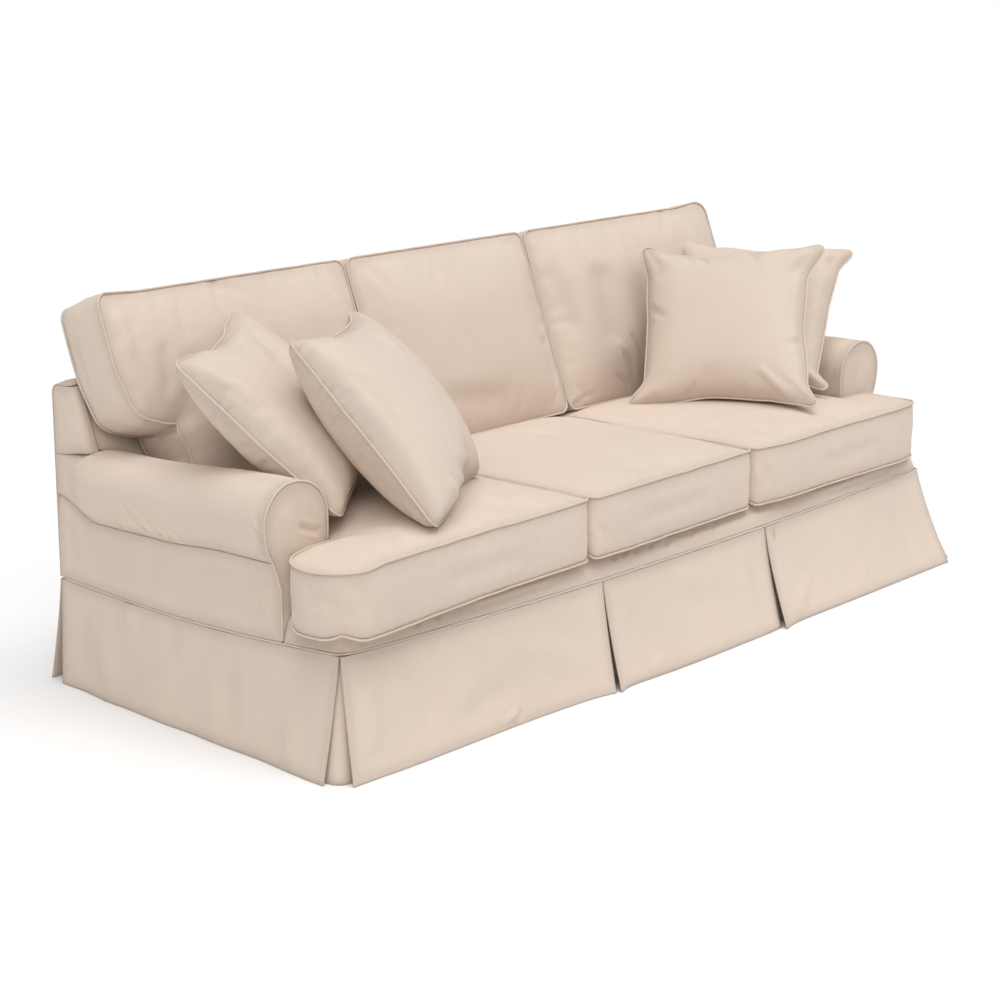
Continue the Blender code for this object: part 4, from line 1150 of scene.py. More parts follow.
class Arm:
    """One arm: its roll, outer panel and scroll shaped facing."""

    steps_post = 4
    steps_roll = 9
    steps_down = 2

    def __init__(self, tailor: Tailor, side: Side) -> None:
        """Take the tailor and the side."""
        self.tailor = tailor
        self.side = side
        self.rail = RailLine()
        self.start = ROLL.facing_depth + CLOTH.welt_reach
        self.end = RAIL.depth - CLOTH.half_solid - 3.0 * CLOTH.gap

    def under(self, depth: Array) -> Array:
        """Height of the seam under the roll: it dips along the arm and rises to the back."""
        dip = ROLL.dip * ease(depth, 0.30, 0.50)
        return ROLL.under - dip + (ROLL.rise + ROLL.dip) * ease(depth, ROLL.taper_start, RAIL.depth) ** 1.6

    def section(self, angle: Array, depth: Array, grow: float = 0.0) -> tuple[Array, Array]:
        """Points of the left roll's section.

        Args:
            angle: From 0 on the inner side to a half turn on the outer side.
            depth: Depth behind the front rail.
            grow: How far outside the section the points lie.

        Returns:
            x and height.
        """
        out, up, down = roll_reach(depth, grow)
        reach = np.where(np.cos(angle) < 0.0, out, ROLL.inside + grow)
        rise = np.where(np.sin(angle) > 0.0, up, down)
        return -ROLL.x + reach * np.cos(angle), ROLL.z + rise * np.sin(angle)

    def seam_angle(self, depth: Array, lift: float) -> Array:
        """Angle of the section at the seam under the roll."""
        down = roll_reach(depth)[2]
        return math.pi + np.arcsin(np.clip((ROLL.z - self.under(depth) - lift) / down, 0.0, 1.0))

    def roll_angle(self, step: Array, depth: Array) -> Array:
        """Angle of a line of the roll's cloth."""
        start = self.seam_angle(depth, CLOTH.half_solid + CLOTH.gap)
        outer = start + (ROLL.post_angle - start) * step / self.steps_post
        inner = ROLL.post_angle * (self.steps_roll - step) / (self.steps_roll - self.steps_post)
        return np.where(step <= self.steps_post, outer, inner)

    def roll(self) -> None:
        """Cloth from the seam under the roll, over the arm and down its inside to the deck."""
        along = np.linspace(0.0, 1.0, 70)[:, None]
        step = np.concatenate([
            np.linspace(0.0, self.steps_post, 26)[:-1],
            np.linspace(self.steps_post, self.steps_roll, 28)[:-1],
            np.linspace(self.steps_roll, self.steps_roll + self.steps_down, 14),
        ])[None, :]
        room = CLOTH.half_solid + 3.0 * CLOTH.gap
        turn = np.minimum(step, self.steps_roll)
        inner = np.full_like(turn, ROLL.taper_start)
        for _ in range(6):
            _, top_height = self.section(self.roll_angle(turn, inner), inner)
            inner = inside_back_depth(top_height) - room
        down = np.clip((step - self.steps_roll) / self.steps_down, 0.0, 1.0)
        low = BACK.deck_top + 2.0 * CLOTH.gap
        wall_height = ROLL.z + (low - ROLL.z) * down
        inner_end = inside_back_depth(np.where(step > self.steps_roll, wall_height, top_height)) - room
        blend = ease(step, self.steps_post, self.steps_post + 1.0)
        end = self.end + (inner_end - self.end) * blend
        depth = self.start + (end - self.start) * along
        x, height = self.section(self.roll_angle(turn, depth), depth)
        flat = ease(depth, ROLL.post_blend, RAIL.depth) * (1.0 - blend)
        post_low = self.under(depth) + CLOTH.half_solid + CLOTH.gap
        post_high = BodyCover.post_join(depth) - CLOTH.half_solid
        post_height = post_low + (post_high - post_low) * np.minimum(step, self.steps_post) / self.steps_post
        x = x + (-RAIL.half - x) * flat
        height = height + (post_height - height) * flat
        straight = step > self.steps_roll
        x = np.where(straight, -(ROLL.x - ROLL.inside), x)
        height = np.where(straight, wall_height, height)
        points = place(-self.side.value * x, depth, height)
        name = "arm_roll_" + self.side.word
        facing = (0.3 * self.side.value, 0.0, 1.0)
        self.tailor.sheet(name, points, facing, Held.STRETCHED, folds=ROLL_FOLDS[self.side], uneven=0.0012)

    def outer_x(self, height: Array, depth: Array) -> Array:
        """Distance out of the outer cloth, which curls out to meet the roll."""
        seam_x, _ = self.section(self.seam_angle(depth, 0.0), depth)
        share = ease(height - self.under(depth), -0.055, 0.0) ** 1.4
        return RAIL.half + (-seam_x - RAIL.half) * share

    def outer(self) -> None:
        """Cloth from the skirt's welt up to the seam under the roll."""
        depth = np.linspace(self.start, self.end, 70)[None, :]
        foot = self.rail.side(self.side, depth[0])
        low = foot[None, :, 2] + CLOTH.welt_reach
        up = np.linspace(0.0, 1.0, 18)[:, None]
        height = low + (self.under(depth) - CLOTH.gap - low) * up
        x = self.side.value * self.outer_x(height, np.broadcast_to(depth, height.shape))
        points = place(x, np.broadcast_to(depth, x.shape), height)
        name = "outer_arm_" + self.side.word
        folds = OUTER_ARM_FOLDS[self.side]
        self.tailor.sheet(name, points, (self.side.value, 0.0, 0.0), Held.STRETCHED, folds=folds)

    def outline(self, inset: float) -> Array:
        """Outline of the left facing, from its outer foot over the top to its inner foot.

        Args:
            inset: How far inside the seam it runs.

        Returns:
            Points as (x, height).
        """
        depth = np.array(ROLL.facing_depth)
        foot = float(self.rail.side(Side.LEFT, depth)[2]) + CLOTH.welt_reach
        angle = float(self.seam_angle(depth, 0.0)) * (1.0 - np.linspace(0.0, 1.0, 60))
        x, height = self.section(angle, np.full_like(angle, ROLL.facing_depth), -inset)
        wall = -(ROLL.x - ROLL.inside) - inset
        outer = np.array([(-RAIL.half + inset, foot + 0.001), (-RAIL.half + inset, 0.34)])
        inner = np.array([(wall, BACK.deck_top + 2.0 * CLOTH.welt_reach)])
        return np.vstack([outer, np.stack([x, height], axis=1), inner])

    def facing(self) -> None:
        """Scroll shaped front of the arm, filled in rings round its middle, and its welt."""
        shape = self.outline(CLOTH.welt_reach)
        foot = float(self.rail.side(Side.LEFT, np.array(ROLL.facing_depth))[2]) + CLOTH.welt_reach
        inner_foot = np.array([[-BACK.inner_half - CLOTH.welt_reach, foot + 0.001]])
        rim = np.vstack([shape, inner_foot])
        rim = np.column_stack([rim[:, 0], np.zeros(len(rim)), rim[:, 1]])
        rim = even_line(rim, CLOTH.welt_pitch, closed=True)
        rim = np.vstack([rim, rim[:1]])
        middle = np.array([-1.004, 0.0, 0.43])
        shares = np.linspace(0.0, 1.0, 13)[:, None, None]
        rings = middle + (rim - middle) * shares
        rings[..., 0] *= -self.side.value
        spots = place(rings[..., 0], np.full(rings.shape[:2], ROLL.facing_depth), rings[..., 2])
        item = self.fill_facing("facing_" + self.side.word, spots, FACING_FOLDS[self.side])
        path = self.outline(0.0)
        path = place(-self.side.value * path[:, 0], np.full(len(path), ROLL.facing_depth), path[:, 1])
        path[0, 2] += 0.0015
        cord = self.tailor.welt("welt_facing_" + self.side.word, path, False)
        log.info("%s and %s meet at the arm's front", item.name, cord.name)

    def fill_facing(self, name: str, spots: Array, folds: Sequence[Fold]) -> bpy.types.Object:
        """Sew the facing from its rings, padded a little towards the front.

        Args:
            name: The node that it stands for.
            spots: Rings of points, from the middle out.
            folds: Listed ridges and troughs.

        Returns:
            The finished piece.
        """
        share = np.linspace(0.0, 1.0, spots.shape[0])
        spots[..., 1] -= 0.0045 * (1.0 - share**2.2)[:, None]
        faces = grid_faces(*spots.shape[:2])
        points = spots.reshape(-1, 3)
        cut = points[:, [0, 2]]
        # Nearness to the rim: it sets the painted shade there and eases the folds.
        seam = np.repeat(ease(share, 0.72, 1.0), spots.shape[1])
        item = new_object(name + "_cloth", points, faces, cut[faces.ravel()], seam)
        shape = bmesh.new()
        shape.from_mesh(item.data)
        bmesh.ops.remove_doubles(shape, verts=shape.verts, dist=0.0001)
        shape.normal_update()
        if sum((face.normal.y for face in shape.faces)) > 0.0:
            bmesh.ops.reverse_faces(shape, faces=shape.faces)
        area = sum(face.calc_area() for face in shape.faces)
        shape.to_mesh(item.data)
        shape.free()
        item.data.shade_smooth()
        shape_cloth(item, folds, 0.0008, 11, name in FINE_PIECES)
        thicken(item)
        return self.tailor.wardrobe.dress(item, Slot.BODY, name)

    def build(self) -> None:
        """Sew every piece of the arm."""
        self.roll()
        self.outer()
        self.facing()


# Skirt ----------------------------------------------------------------------------------------------


@dataclass(frozen=True)
class FrontPanel:
    """One front panel of the skirt: its ends, how far each lower corner moves and points out."""

    name: str
    left: float
    right: float
    left_move: float
    right_move: float
    left_tip: float
    right_tip: float


@dataclass(frozen=True)
class SkirtSizes:
    """Skirt, its pleats and the flare of its hem along each side."""

    hem_height: float = 0.0006
    drop_power: float = 1.25
    pleat_left: float = -0.285
    pleat_right: float = 0.332
    split: float = 0.001
    end_gap: float = 0.003
    left_front_reach: float = 0.031
    right_front_reach: float = 0.012
    underlay_reach: float = 0.085
    underlay_behind: float = 0.035
    corner_side: float = 0.016
    corner_behind: float = 0.021
    corner_reach: float = 0.075
    corner_round: float = 0.03
    front_hem: Table = (
        (-1.067, 0.078), (-0.87, 0.084), (-0.60, 0.084), (0.0, 0.112), (0.55, 0.108), (1.067, 0.104),
    )
    left_hem: Table = (
        (0.0, 0.079), (0.25, 0.056), (0.45, 0.043), (0.66, 0.028), (0.80, 0.012), (0.855, 0.010),
    )
    right_hem: Table = (
        (0.0, 0.074), (0.25, 0.062), (0.45, 0.048), (0.66, 0.034), (0.80, 0.020), (0.855, 0.014),
    )
    back_hem: Table = (
        (-1.067, 0.048), (-0.5, 0.038), (0.0, 0.046), (0.5, 0.040), (1.067, 0.048),
    )


class Skirt:
    """Skirt panels and the cloth behind their pleats."""

    def __init__(self, tailor: Tailor) -> None:
        """Take the tailor and lay out the panels."""
        self.tailor = tailor
        self.rail = RailLine()
        self.size = SkirtSizes()
        reach = RAIL.half - 0.001
        left, right, split = self.size.pleat_left, self.size.pleat_right, self.size.split
        self.panels = (
            FrontPanel("skirt_front_left", -reach, left - split, -0.047, -0.044, 0.0, 0.010),
            FrontPanel("skirt_front_centre", left + split, right - split, -0.036, -0.024, 0.017, -0.005),
            FrontPanel("skirt_front_right", right + split, reach, -0.031, 0.004, 0.015, 0.0),
        )

    def hem_line(self, x: Array, depth: Array) -> Array:
        """Points of a hem, just above the floor."""
        return np.stack([x, depth, np.full_like(x, self.size.hem_height)], axis=1)

    def hang(self, name: str, top: Array, hem: Array, facing: Spot, slot: Slot = Slot.BODY) -> None:
        """Hang a panel from the welt.

        Args:
            name: The node that it stands for.
            top: Its upper line, as (x, depth, height).
            hem: Its hem line, with as many points.
            facing: Rough way that it faces.
            slot: Its material slot.
        """
        down = np.concatenate([np.linspace(0.0, 0.04, 5)[:-1], np.linspace(0.04, 1.0, 26)])[:, None]
        top = top.copy()
        top[:, 2] -= CLOTH.welt_reach
        flare = down**self.size.drop_power
        x = top[:, 0] + (hem[:, 0] - top[:, 0]) * flare
        depth = top[:, 1] + (hem[:, 1] - top[:, 1]) * flare
        height = top[:, 2] + (hem[:, 2] - top[:, 2]) * down
        folds = SKIRT_FOLDS.get(name, ())
        uneven = 0.0012 if slot is Slot.BODY else 0.0
        points = place(x, depth, height)
        self.tailor.sheet(name, points, facing, Held.HUNG, slot, folds, uneven, rests_on=["welt_skirt_cord"])

    def front(self) -> None:
        """Three front panels, split by two kick pleats."""
        for panel in self.panels:
            along = np.linspace(0.0, 1.0, round((panel.right - panel.left) / CLOTH.pitch))
            x = panel.left + (panel.right - panel.left) * along
            tips = panel.left_tip * np.maximum(0.0, 1.0 - along / 0.12) ** 2
            tips += panel.right_tip * np.maximum(0.0, (along - 0.88) / 0.12) ** 2
            out = between(x, self.size.front_hem) + tips
            move = panel.left_move + (panel.right_move - panel.left_move) * along
            self.hang(panel.name, self.rail.front(x), self.hem_line(x + move, -out), (0.0, -1.0, 0.0))

    def sides(self) -> None:
        """One panel along each side, its front corner carried a little past the rail's corner."""
        rows = (
            (Side.LEFT, self.size.left_hem, self.size.left_front_reach),
            (Side.RIGHT, self.size.right_hem, self.size.right_front_reach),
        )
        for side, table, reach in rows:
            along = np.linspace(0.0, 1.0, 84)
            depth = self.size.end_gap + (RAIL.depth - 2.0 * self.size.end_gap) * along
            out = side.value * (RAIL.half + between(depth, table))
            hem = self.hem_line(out, depth - reach * (1.0 - along) ** 3)
            self.hang("skirt_" + side.word, self.rail.side(side, depth), hem, (side.value, 0.0, 0.0))

    def back(self) -> None:
        """One panel along the back, with flaring ends."""
        x = (RAIL.half - 0.001) * np.linspace(-1.0, 1.0, 200)
        top = np.stack([x, np.full_like(x, RAIL.depth + 0.0008), np.full_like(x, RAIL.height)], axis=1)
        out = RAIL.depth + between(x, self.size.back_hem)
        self.hang("skirt_back", top, self.hem_line(x, out), (0.0, 1.0, 0.0))

    def pleat_underlays(self) -> None:
        """Cloth behind each front pleat."""
        rows = (("left", self.size.pleat_left, -0.040), ("right", self.size.pleat_right, -0.022))
        for name, middle, shift in rows:
            along = np.linspace(0.0, 1.0, 14) - 0.5
            top = self.rail.front(middle + self.size.underlay_reach * along)
            top[:, 1] += CLOTH.solid + CLOTH.gap
            x = middle + shift + 1.5 * self.size.underlay_reach * along
            out = float(between(np.array(middle), self.size.front_hem)) - self.size.underlay_behind
            hem = self.hem_line(x, np.full_like(x, -out))
            self.hang("underlay_front_" + name, top, hem, (0.0, -1.0, 0.0), Slot.UNDERLAY)

    def bend(self, along: Array, x_out: float, depth_out: float, radius: float) -> tuple[Array, Array]:
        """Line that runs along the side, round a corner and along the front or back.

        Args:
            along: Shares of the way, from 0 to 1.
            x_out: How far it lies outside the rail's side.
            depth_out: How far it lies outside the rail's front or back.
            radius: Radius of the corner.

        Returns:
            x, and the distance out past the front or back.
        """
        angle = 0.5 * math.pi * np.clip((along - 0.25) / 0.5, 0.0, 1.0)
        x = RAIL.half + x_out - radius + radius * np.cos(angle)
        depth = depth_out - radius + radius * np.sin(angle)
        depth = depth - self.size.corner_reach * np.maximum(0.0, 0.25 - along) / 0.25
        x = x - self.size.corner_reach * np.maximum(0.0, along - 0.75) / 0.25
        return x, depth

    def corner_underlays(self) -> None:
        """Cloth behind each corner pleat, bent round the corner."""
        tables = {Side.LEFT: self.size.left_hem, Side.RIGHT: self.size.right_hem}
        for side, table in tables.items():
            for front in (True, False):
                ends = self.size.front_hem if front else self.size.back_hem
                end_out = ends[0 if side is Side.LEFT else -1][1]
                side_out = table[0 if front else -1][1]
                along = np.linspace(0.0, 1.0, 30)
                edge, inward = (0.0, 1.0) if front else (RAIL.depth, -1.0)
                inside = CLOTH.solid + 2.0 * CLOTH.gap
                x, out = self.bend(along, -inside, -inside, RAIL.corner)
                depth = edge - inward * out
                seam = self.rail.side(side, depth)[:, 2]
                if front:
                    seam = np.where(along < 0.5, seam, self.rail.front(x)[:, 2])
                top = np.stack([side.value * x, depth, seam - CLOTH.gap], axis=1)
                side_reach = side_out - self.size.corner_side
                end_reach = end_out - self.size.corner_behind
                x, out = self.bend(along, side_reach, end_reach, self.size.corner_round)
                hem = self.hem_line(side.value * x, edge - inward * out)
                name = f"underlay_corner_{'front' if front else 'back'}_{side.word}"
                self.hang(name, top, hem, (side.value, -inward, 0.0), Slot.UNDERLAY)

    def build(self) -> None:
        """Hang every panel."""
        self.front()
        self.sides()
        self.back()
        self.pleat_underlays()
        self.corner_underlays()


# Cushions -------------------------------------------------------------------------------------------


@dataclass(frozen=True)
class Lobe:
    """Part of a cushion that reaches past its body: its far edge, its ends and their corners' radii."""

    far: float
    low: float
    high: float
    low_radius: float
    high_radius: float


@dataclass(frozen=True)
class CushionCut:
    """Plan of one boxed cushion, with its crown."""

    name: str
    left: float
    right: float
    low: float
    high: float
    lobe: Optional[Lobe]
    reach: float
    corner: float

    def blocks(self) -> list[Corner]:
        """Rectangles that make up the plan, as (left, right, low, high)."""
        rows = [(self.left, self.right, self.low, self.high)]
        if self.lobe:
            left = min(self.left, self.lobe.far)
            right = max(self.right, self.lobe.far)
            rows.append((left, right, self.lobe.low, self.lobe.high))
        return rows

    def corners(self) -> list[Corner]:
        """Corners to round, as (x, y, signed radius along x, signed radius along y)."""
        radius = self.corner
        found = [
            (self.left, self.low, radius, radius),
            (self.right, self.low, -radius, radius),
            (self.left, self.high, radius, -radius),
            (self.right, self.high, -radius, -radius),
        ]
        if not self.lobe:
            return found
        near = self.left if self.lobe.far < self.left else self.right
        way = 1.0 if self.lobe.far < self.left else -1.0
        at_low = self.lobe.low == self.low
        kept = [row for row in found if not (row[0] == near and (row[1] == self.low) == at_low)]
        low, high = self.lobe.low_radius, self.lobe.high_radius
        kept.append((self.lobe.far, self.lobe.low, way * low, low))
        kept.append((self.lobe.far, self.lobe.high, way * high, -high))
        return kept

    def lines(self) -> tuple[Array, Array]:
        """Places of the grid lines across and along the plan."""
        xs, ys = {self.left, self.right}, {self.low, self.high}
        if self.lobe:
            xs.add(self.lobe.far)
            ys.update((self.lobe.low, self.lobe.high))
        return even_stations(sorted(xs)), even_stations(sorted(ys))

    def fill(self, x: Array, y: Array) -> Array:
        """Share of the full crown at places on the plan."""
        total = np.zeros_like(x)
        for left, right, low, high in self.blocks():
            across = np.clip(np.minimum(x - left, right - x), 0.0, self.reach) / self.reach
            along = np.clip(np.minimum(y - low, high - y), 0.0, self.reach) / self.reach
            share = (np.sin(0.5 * math.pi * across) * np.sin(0.5 * math.pi * along)) ** 0.7
            total = np.maximum(total, 0.0) ** 6 + share**6
            total = total ** (1.0 / 6.0)
        return np.minimum(total, 1.0)

    def edge(self, x: Array, y: Array) -> Array:
        """Distance in from the seam."""
        best = np.zeros_like(x)
        for left, right, low, high in self.blocks():
            inside = np.minimum(np.minimum(x - left, right - x), np.minimum(y - low, high - y))
            best = np.maximum(best, inside)
        return best


def even_stations(marks: Sequence[float]) -> Array:
    """Grid lines at about the cloth's pitch, with one on each mark."""
    parts = [np.array([marks[0]])]
    for low, high in zip(marks, marks[1:]):
        parts.append(np.linspace(low, high, max(2, round((high - low) / CLOTH.pitch)) + 1)[1:])
    return np.concatenate(parts)


def round_corners(x: Array, y: Array, corners: Sequence[Corner]) -> tuple[Array, Array]:
    """Draw points in square corners onto round ones.

    Args:
        x: Places across the plan.
        y: Places along the plan.
        corners: The corner's place and its signed radii.

    Returns:
        The new places.
    """
    for corner_x, corner_y, across, along in corners:
        share_x = 1.0 - (x - corner_x) / across
        share_y = 1.0 - (y - corner_y) / along
        inside = (share_x >= 0.0) & (share_x <= 1.0) & (share_y >= 0.0) & (share_y <= 1.0)
        safe_x, safe_y = np.clip(share_x, 0.0, 1.0), np.clip(share_y, 0.0, 1.0)
        round_x = safe_x * np.sqrt(1.0 - 0.5 * safe_y**2)
        round_y = safe_y * np.sqrt(1.0 - 0.5 * safe_x**2)
        x = np.where(inside, corner_x + across * (1.0 - round_x), x)
        y = np.where(inside, corner_y + along * (1.0 - round_y), y)
    return x, y


def loop_offsets(loop: Array, distance: float) -> Array:
    """Offset of each point of a closed plan loop that moves it outwards.

    Args:
        loop: Points as (x, y).
        distance: How far to move.

    Returns:
        The offsets.
    """
    ahead = np.roll(loop, -1, axis=0) - loop
    behind = loop - np.roll(loop, 1, axis=0)
    ahead /= np.linalg.norm(ahead, axis=1)[:, None]
    behind /= np.linalg.norm(behind, axis=1)[:, None]
    area = np.sum(loop[:, 0] * np.roll(loop[:, 1], -1) - np.roll(loop[:, 0], -1) * loop[:, 1])
    way = ahead + behind
    normal = np.stack([way[:, 1], -way[:, 0]], axis=1) * (1.0 if area > 0.0 else -1.0)
    normal /= np.linalg.norm(normal, axis=1)[:, None]
    return normal * distance


class Padding:
    """Swells cushions and pillows with Blender's cloth, all in one run."""

    frames = 20

    def __init__(self) -> None:
        """Start with nothing to swell."""
        self.waiting: list[tuple[bpy.types.Object, float]] = []

    def add(self, item: bpy.types.Object, pins: Array, pressure: float, slack: float, cap: float) -> None:
        """Set a piece up.

        Args:
            item: The closed cover.
            pins: For each vertex, 1 where a seam or what it rests on holds it.
            pressure: Pressure of the filling.
            slack: Share by which the cloth is cut larger than the form.
            cap: How far a point may move.
        """
        group = item.vertex_groups.new(name="held")
        for weight in np.unique(pins[pins > 0.0]):
            group.add(np.flatnonzero(pins == weight).tolist(), float(weight), "REPLACE")
        cloth = item.modifiers.new("filling", "CLOTH")
        settings = cloth.settings
        settings.quality = 4
        settings.mass = 0.25
        settings.tension_stiffness = 18.0
        settings.compression_stiffness = 12.0
        settings.shear_stiffness = 6.0
        settings.bending_stiffness = 0.25
        settings.tension_damping = 12.0
        settings.compression_damping = 12.0
        settings.bending_damping = 1.0
        settings.air_damping = 3.0
        settings.use_pressure = True
        settings.uniform_pressure_force = pressure
        settings.shrink_min = -slack
        settings.vertex_group_mass = "held"
        settings.effector_weights.gravity = 0.0
        cloth.collision_settings.use_collision = False
        cloth.collision_settings.use_self_collision = False
        cloth.point_cache.frame_start = 1
        cloth.point_cache.frame_end = self.frames
        self.waiting.append((item, cap))

    def run(self) -> None:
        """Swell every piece, keep the moves under their caps and take the Cloth off."""
        scene = bpy.context.scene
        for number in range(1, self.frames + 1):
            scene.frame_set(number)
        graph = bpy.context.evaluated_depsgraph_get()
        for item, cap in self.waiting:
            start = read_spots(item.data)
            end = read_spots(item.evaluated_get(graph).data)
            move = end - start
            reach = np.linalg.norm(move, axis=1)
            share = cap * np.tanh(reach / cap) / np.maximum(reach, 1e-9)
            item.modifiers.remove(item.modifiers["filling"])
            item.vertex_groups.clear()
            move_spots(item.data, start + move * share[:, None])
            log.info("%s swelled by %.1f mm at most", item.name, 1000.0 * float((reach * share).max()))
        scene.frame_set(1)


class Cushion:
    """One boxed cushion with its two welts."""

    boxing_rows = 7
    belly = 0.004
    # Reach of the painted shade beside the cushion's seams; its folds also fade over it.
    seam_shade_reach = 0.022
    welt_stand_off = 0.55

    def __init__(
        self, cut: CushionCut, upper: Skin, lower: Skin, world: Skin, welts: tuple[str, str]
    ) -> None:
        """Take the cut, the heights of its two skins and its place.

        Args:
            cut: The plan.
            upper: Height of the upper skin over the plan.
            lower: Height of the lower skin over the plan.
            world: Turns plan places and heights into points.
            welts: Names of the upper and the lower welt.
        """
        self.cut = cut
        self.upper = upper
        self.lower = lower
        self.world = world
        self.welts = welts

    def skin(self) -> tuple[Array, Array, Array, Array, Array]:
        """One skin of the plan.

        Returns:
            x, y, the distance in from the seam, the faces and the loop of vertices round its edge.
        """
        xs, ys = self.cut.lines()
        grid_x, grid_y = np.meshgrid(xs, ys, indexing="ij")
        middle_x = 0.5 * (grid_x[1:, 1:] + grid_x[:-1, :-1])
        middle_y = 0.5 * (grid_y[1:, 1:] + grid_y[:-1, :-1])
        inside = np.zeros(middle_x.shape, dtype=bool)
        for left, right, low, high in self.cut.blocks():
            inside |= (middle_x > left) & (middle_x < right) & (middle_y > low) & (middle_y < high)
        number = np.arange(grid_x.size).reshape(grid_x.shape)
        faces = grid_ring(number)[inside]
        used, faces = np.unique(faces, return_inverse=True)
        faces = faces.reshape(-1, 4)
        edge = self.cut.edge(grid_x.ravel()[used], grid_y.ravel()[used])
        x, y = round_corners(grid_x.ravel()[used], grid_y.ravel()[used], self.cut.corners())
        return x, y, edge, faces, edge_loop(faces)

    def build(self) -> tuple[bpy.types.Object, Array]:
        """Make the closed cover.

        Returns:
            The object, and for each vertex whether something holds it.
        """
        x, y, edge, faces, loop = self.skin()
        count, rim = len(x), len(loop)
        wander = 0.0012 * waves(np.stack([x[loop], y[loop], np.zeros(rim)], axis=1), 0.30, count)
        top, bottom = self.upper(x, y, edge), self.lower(x, y, edge)
        top[loop] += wander
        loop_xy = np.stack([x[loop], y[loop]], axis=1)
        push = loop_offsets(loop_xy, 1.0)
        rows = np.linspace(0.0, 1.0, self.boxing_rows + 2)[1:-1]
        uneven = 1.0 + 0.35 * waves(np.column_stack([loop_xy, np.zeros(rim)]), 0.21, count + 3)
        box_points = []
        for share in rows:
            out = self.belly * math.sin(math.pi * share) ** 0.8 * uneven
            spot = loop_xy + push * out[:, None]
            height = top[loop] + (bottom[loop] - top[loop]) * share
            box_points.append(np.column_stack([spot, height]))
        plan = np.vstack([np.column_stack([x, y, top]), np.column_stack([x, y, bottom])] + box_points)
        points = self.world(plan[:, 0], plan[:, 1], plan[:, 2])
        boxing = [2 * count + rim * index + np.arange(rim) for index in range(len(rows))]
        rings = [loop] + boxing + [count + loop]
        ahead = np.roll(np.arange(rim), -1)
        side_faces = [np.stack([a, a[ahead], b[ahead], b], axis=1) for a, b in zip(rings, rings[1:])]
        all_faces = np.vstack([faces, faces[:, ::-1] + count] + side_faces)
        walk = lengths(np.vstack([plan[loop], plan[loop][:1]]))
        skin_cut = plan[np.vstack([faces, faces[:, ::-1]])][..., :2].reshape(-1, 2)
        depth = float(np.mean(top[loop] - bottom[loop]))
        side_cut = []
        for index in range(len(rings) - 1):
            low, high = depth * index / (len(rings) - 1), depth * (index + 1) / (len(rings) - 1)
            here, there = walk[:-1], walk[1:]
            ring_cut = [(here, low), (there, low), (there, high), (here, high)]
            corners = [np.stack(np.broadcast_arrays(*pair), axis=-1) for pair in ring_cut]
            side_cut.append(np.stack(corners, axis=1))
        cut = np.vstack([skin_cut, np.vstack(side_cut).reshape(-1, 2)])
        across = np.repeat(np.minimum(rows, 1.0 - rows) * depth, rim)
        seam = 1.0 - ease(np.concatenate([edge, edge, across]), 0.0, self.seam_shade_reach)
        item = new_object(self.cut.name + "_cover", points, all_faces, cut, seam)
        crease(item.data, (loop, count + loop))
        orient(item.data)
        below, loose = np.ones(count, dtype=bool), np.zeros(rim * len(rows), dtype=bool)
        held = np.concatenate([edge < 1e-6, below, loose])
        self.rims = []
        for base, rise in ((loop, 1.0), (count + loop, -1.0)):
            reach = self.welt_stand_off * CLOTH.welt_reach * math.sqrt(0.5)
            spot = plan[base].copy()
            spot[:, :2] += push * reach
            spot[:, 2] += rise * reach
            self.rims.append(self.world(*spot.T))
        return item, held.astype(float)

    def sew(self, tailor: Tailor) -> None:
        """Sew both welts."""
        for name, path in zip(self.welts, self.rims):
            tailor.welt(name, path, True)


def edge_loop(faces: Array) -> Array:
    """Vertices round the edge of an open mesh, in order.

    Args:
        faces: Four vertex numbers for each face.

    Returns:
        The vertex numbers, turning the same way as the faces.
    """
    pairs = {}
    for ring in faces.tolist():
        for here, there in zip(ring, ring[1:] + ring[:1]):
            pairs[(here, there)] = True
    onward = {here: there for here, there in pairs if (there, here) not in pairs}
    start = min(onward)
    loop = [start]
    while onward[loop[-1]] != start:
        loop.append(onward[loop[-1]])
    return np.array(loop)


def crease(mesh: bpy.types.Mesh, loops: Sequence[Array]) -> None:
    """Mark the edges along closed loops of vertices as sewn, so that they stay crisp when refined."""
    sewn = {tuple(sorted(pair)) for loop in loops for pair in zip(loop.tolist(), np.roll(loop, -1).tolist())}
    ends = np.empty(len(mesh.edges) * 2, dtype=int)
    mesh.edges.foreach_get("vertices", ends)
    ends = np.sort(ends.reshape(-1, 2), axis=1)
    marks = np.array([1.0 if tuple(pair) in sewn else 0.0 for pair in ends.tolist()], dtype=np.float32)
    layer = mesh.attributes.new("crease_edge", "FLOAT", "EDGE")
    layer.data.foreach_set("value", marks)


def orient(mesh: bpy.types.Mesh) -> None:
    """Point the faces of a closed mesh outwards."""
    shape = bmesh.new()
    shape.from_mesh(mesh)
    bmesh.ops.recalc_face_normals(shape, faces=shape.faces)
    shape.to_mesh(mesh)
    shape.free()
    mesh.update()


@dataclass(frozen=True)
class CushionRow:
    """One cushion of a row: the edges of its body, its lobe's far edge and that lobe's corner radii."""

    name: str
    left: float
    right: float
    far: Optional[float] = None
    low_radius: float = 0.0
    high_radius: float = 0.0

    def lobe(self, low: float, high: float) -> Optional[Lobe]:
        """The part that reaches past the body, between two places along the plan."""
        return Lobe(self.far, low, high, self.low_radius, self.high_radius) if self.far else None


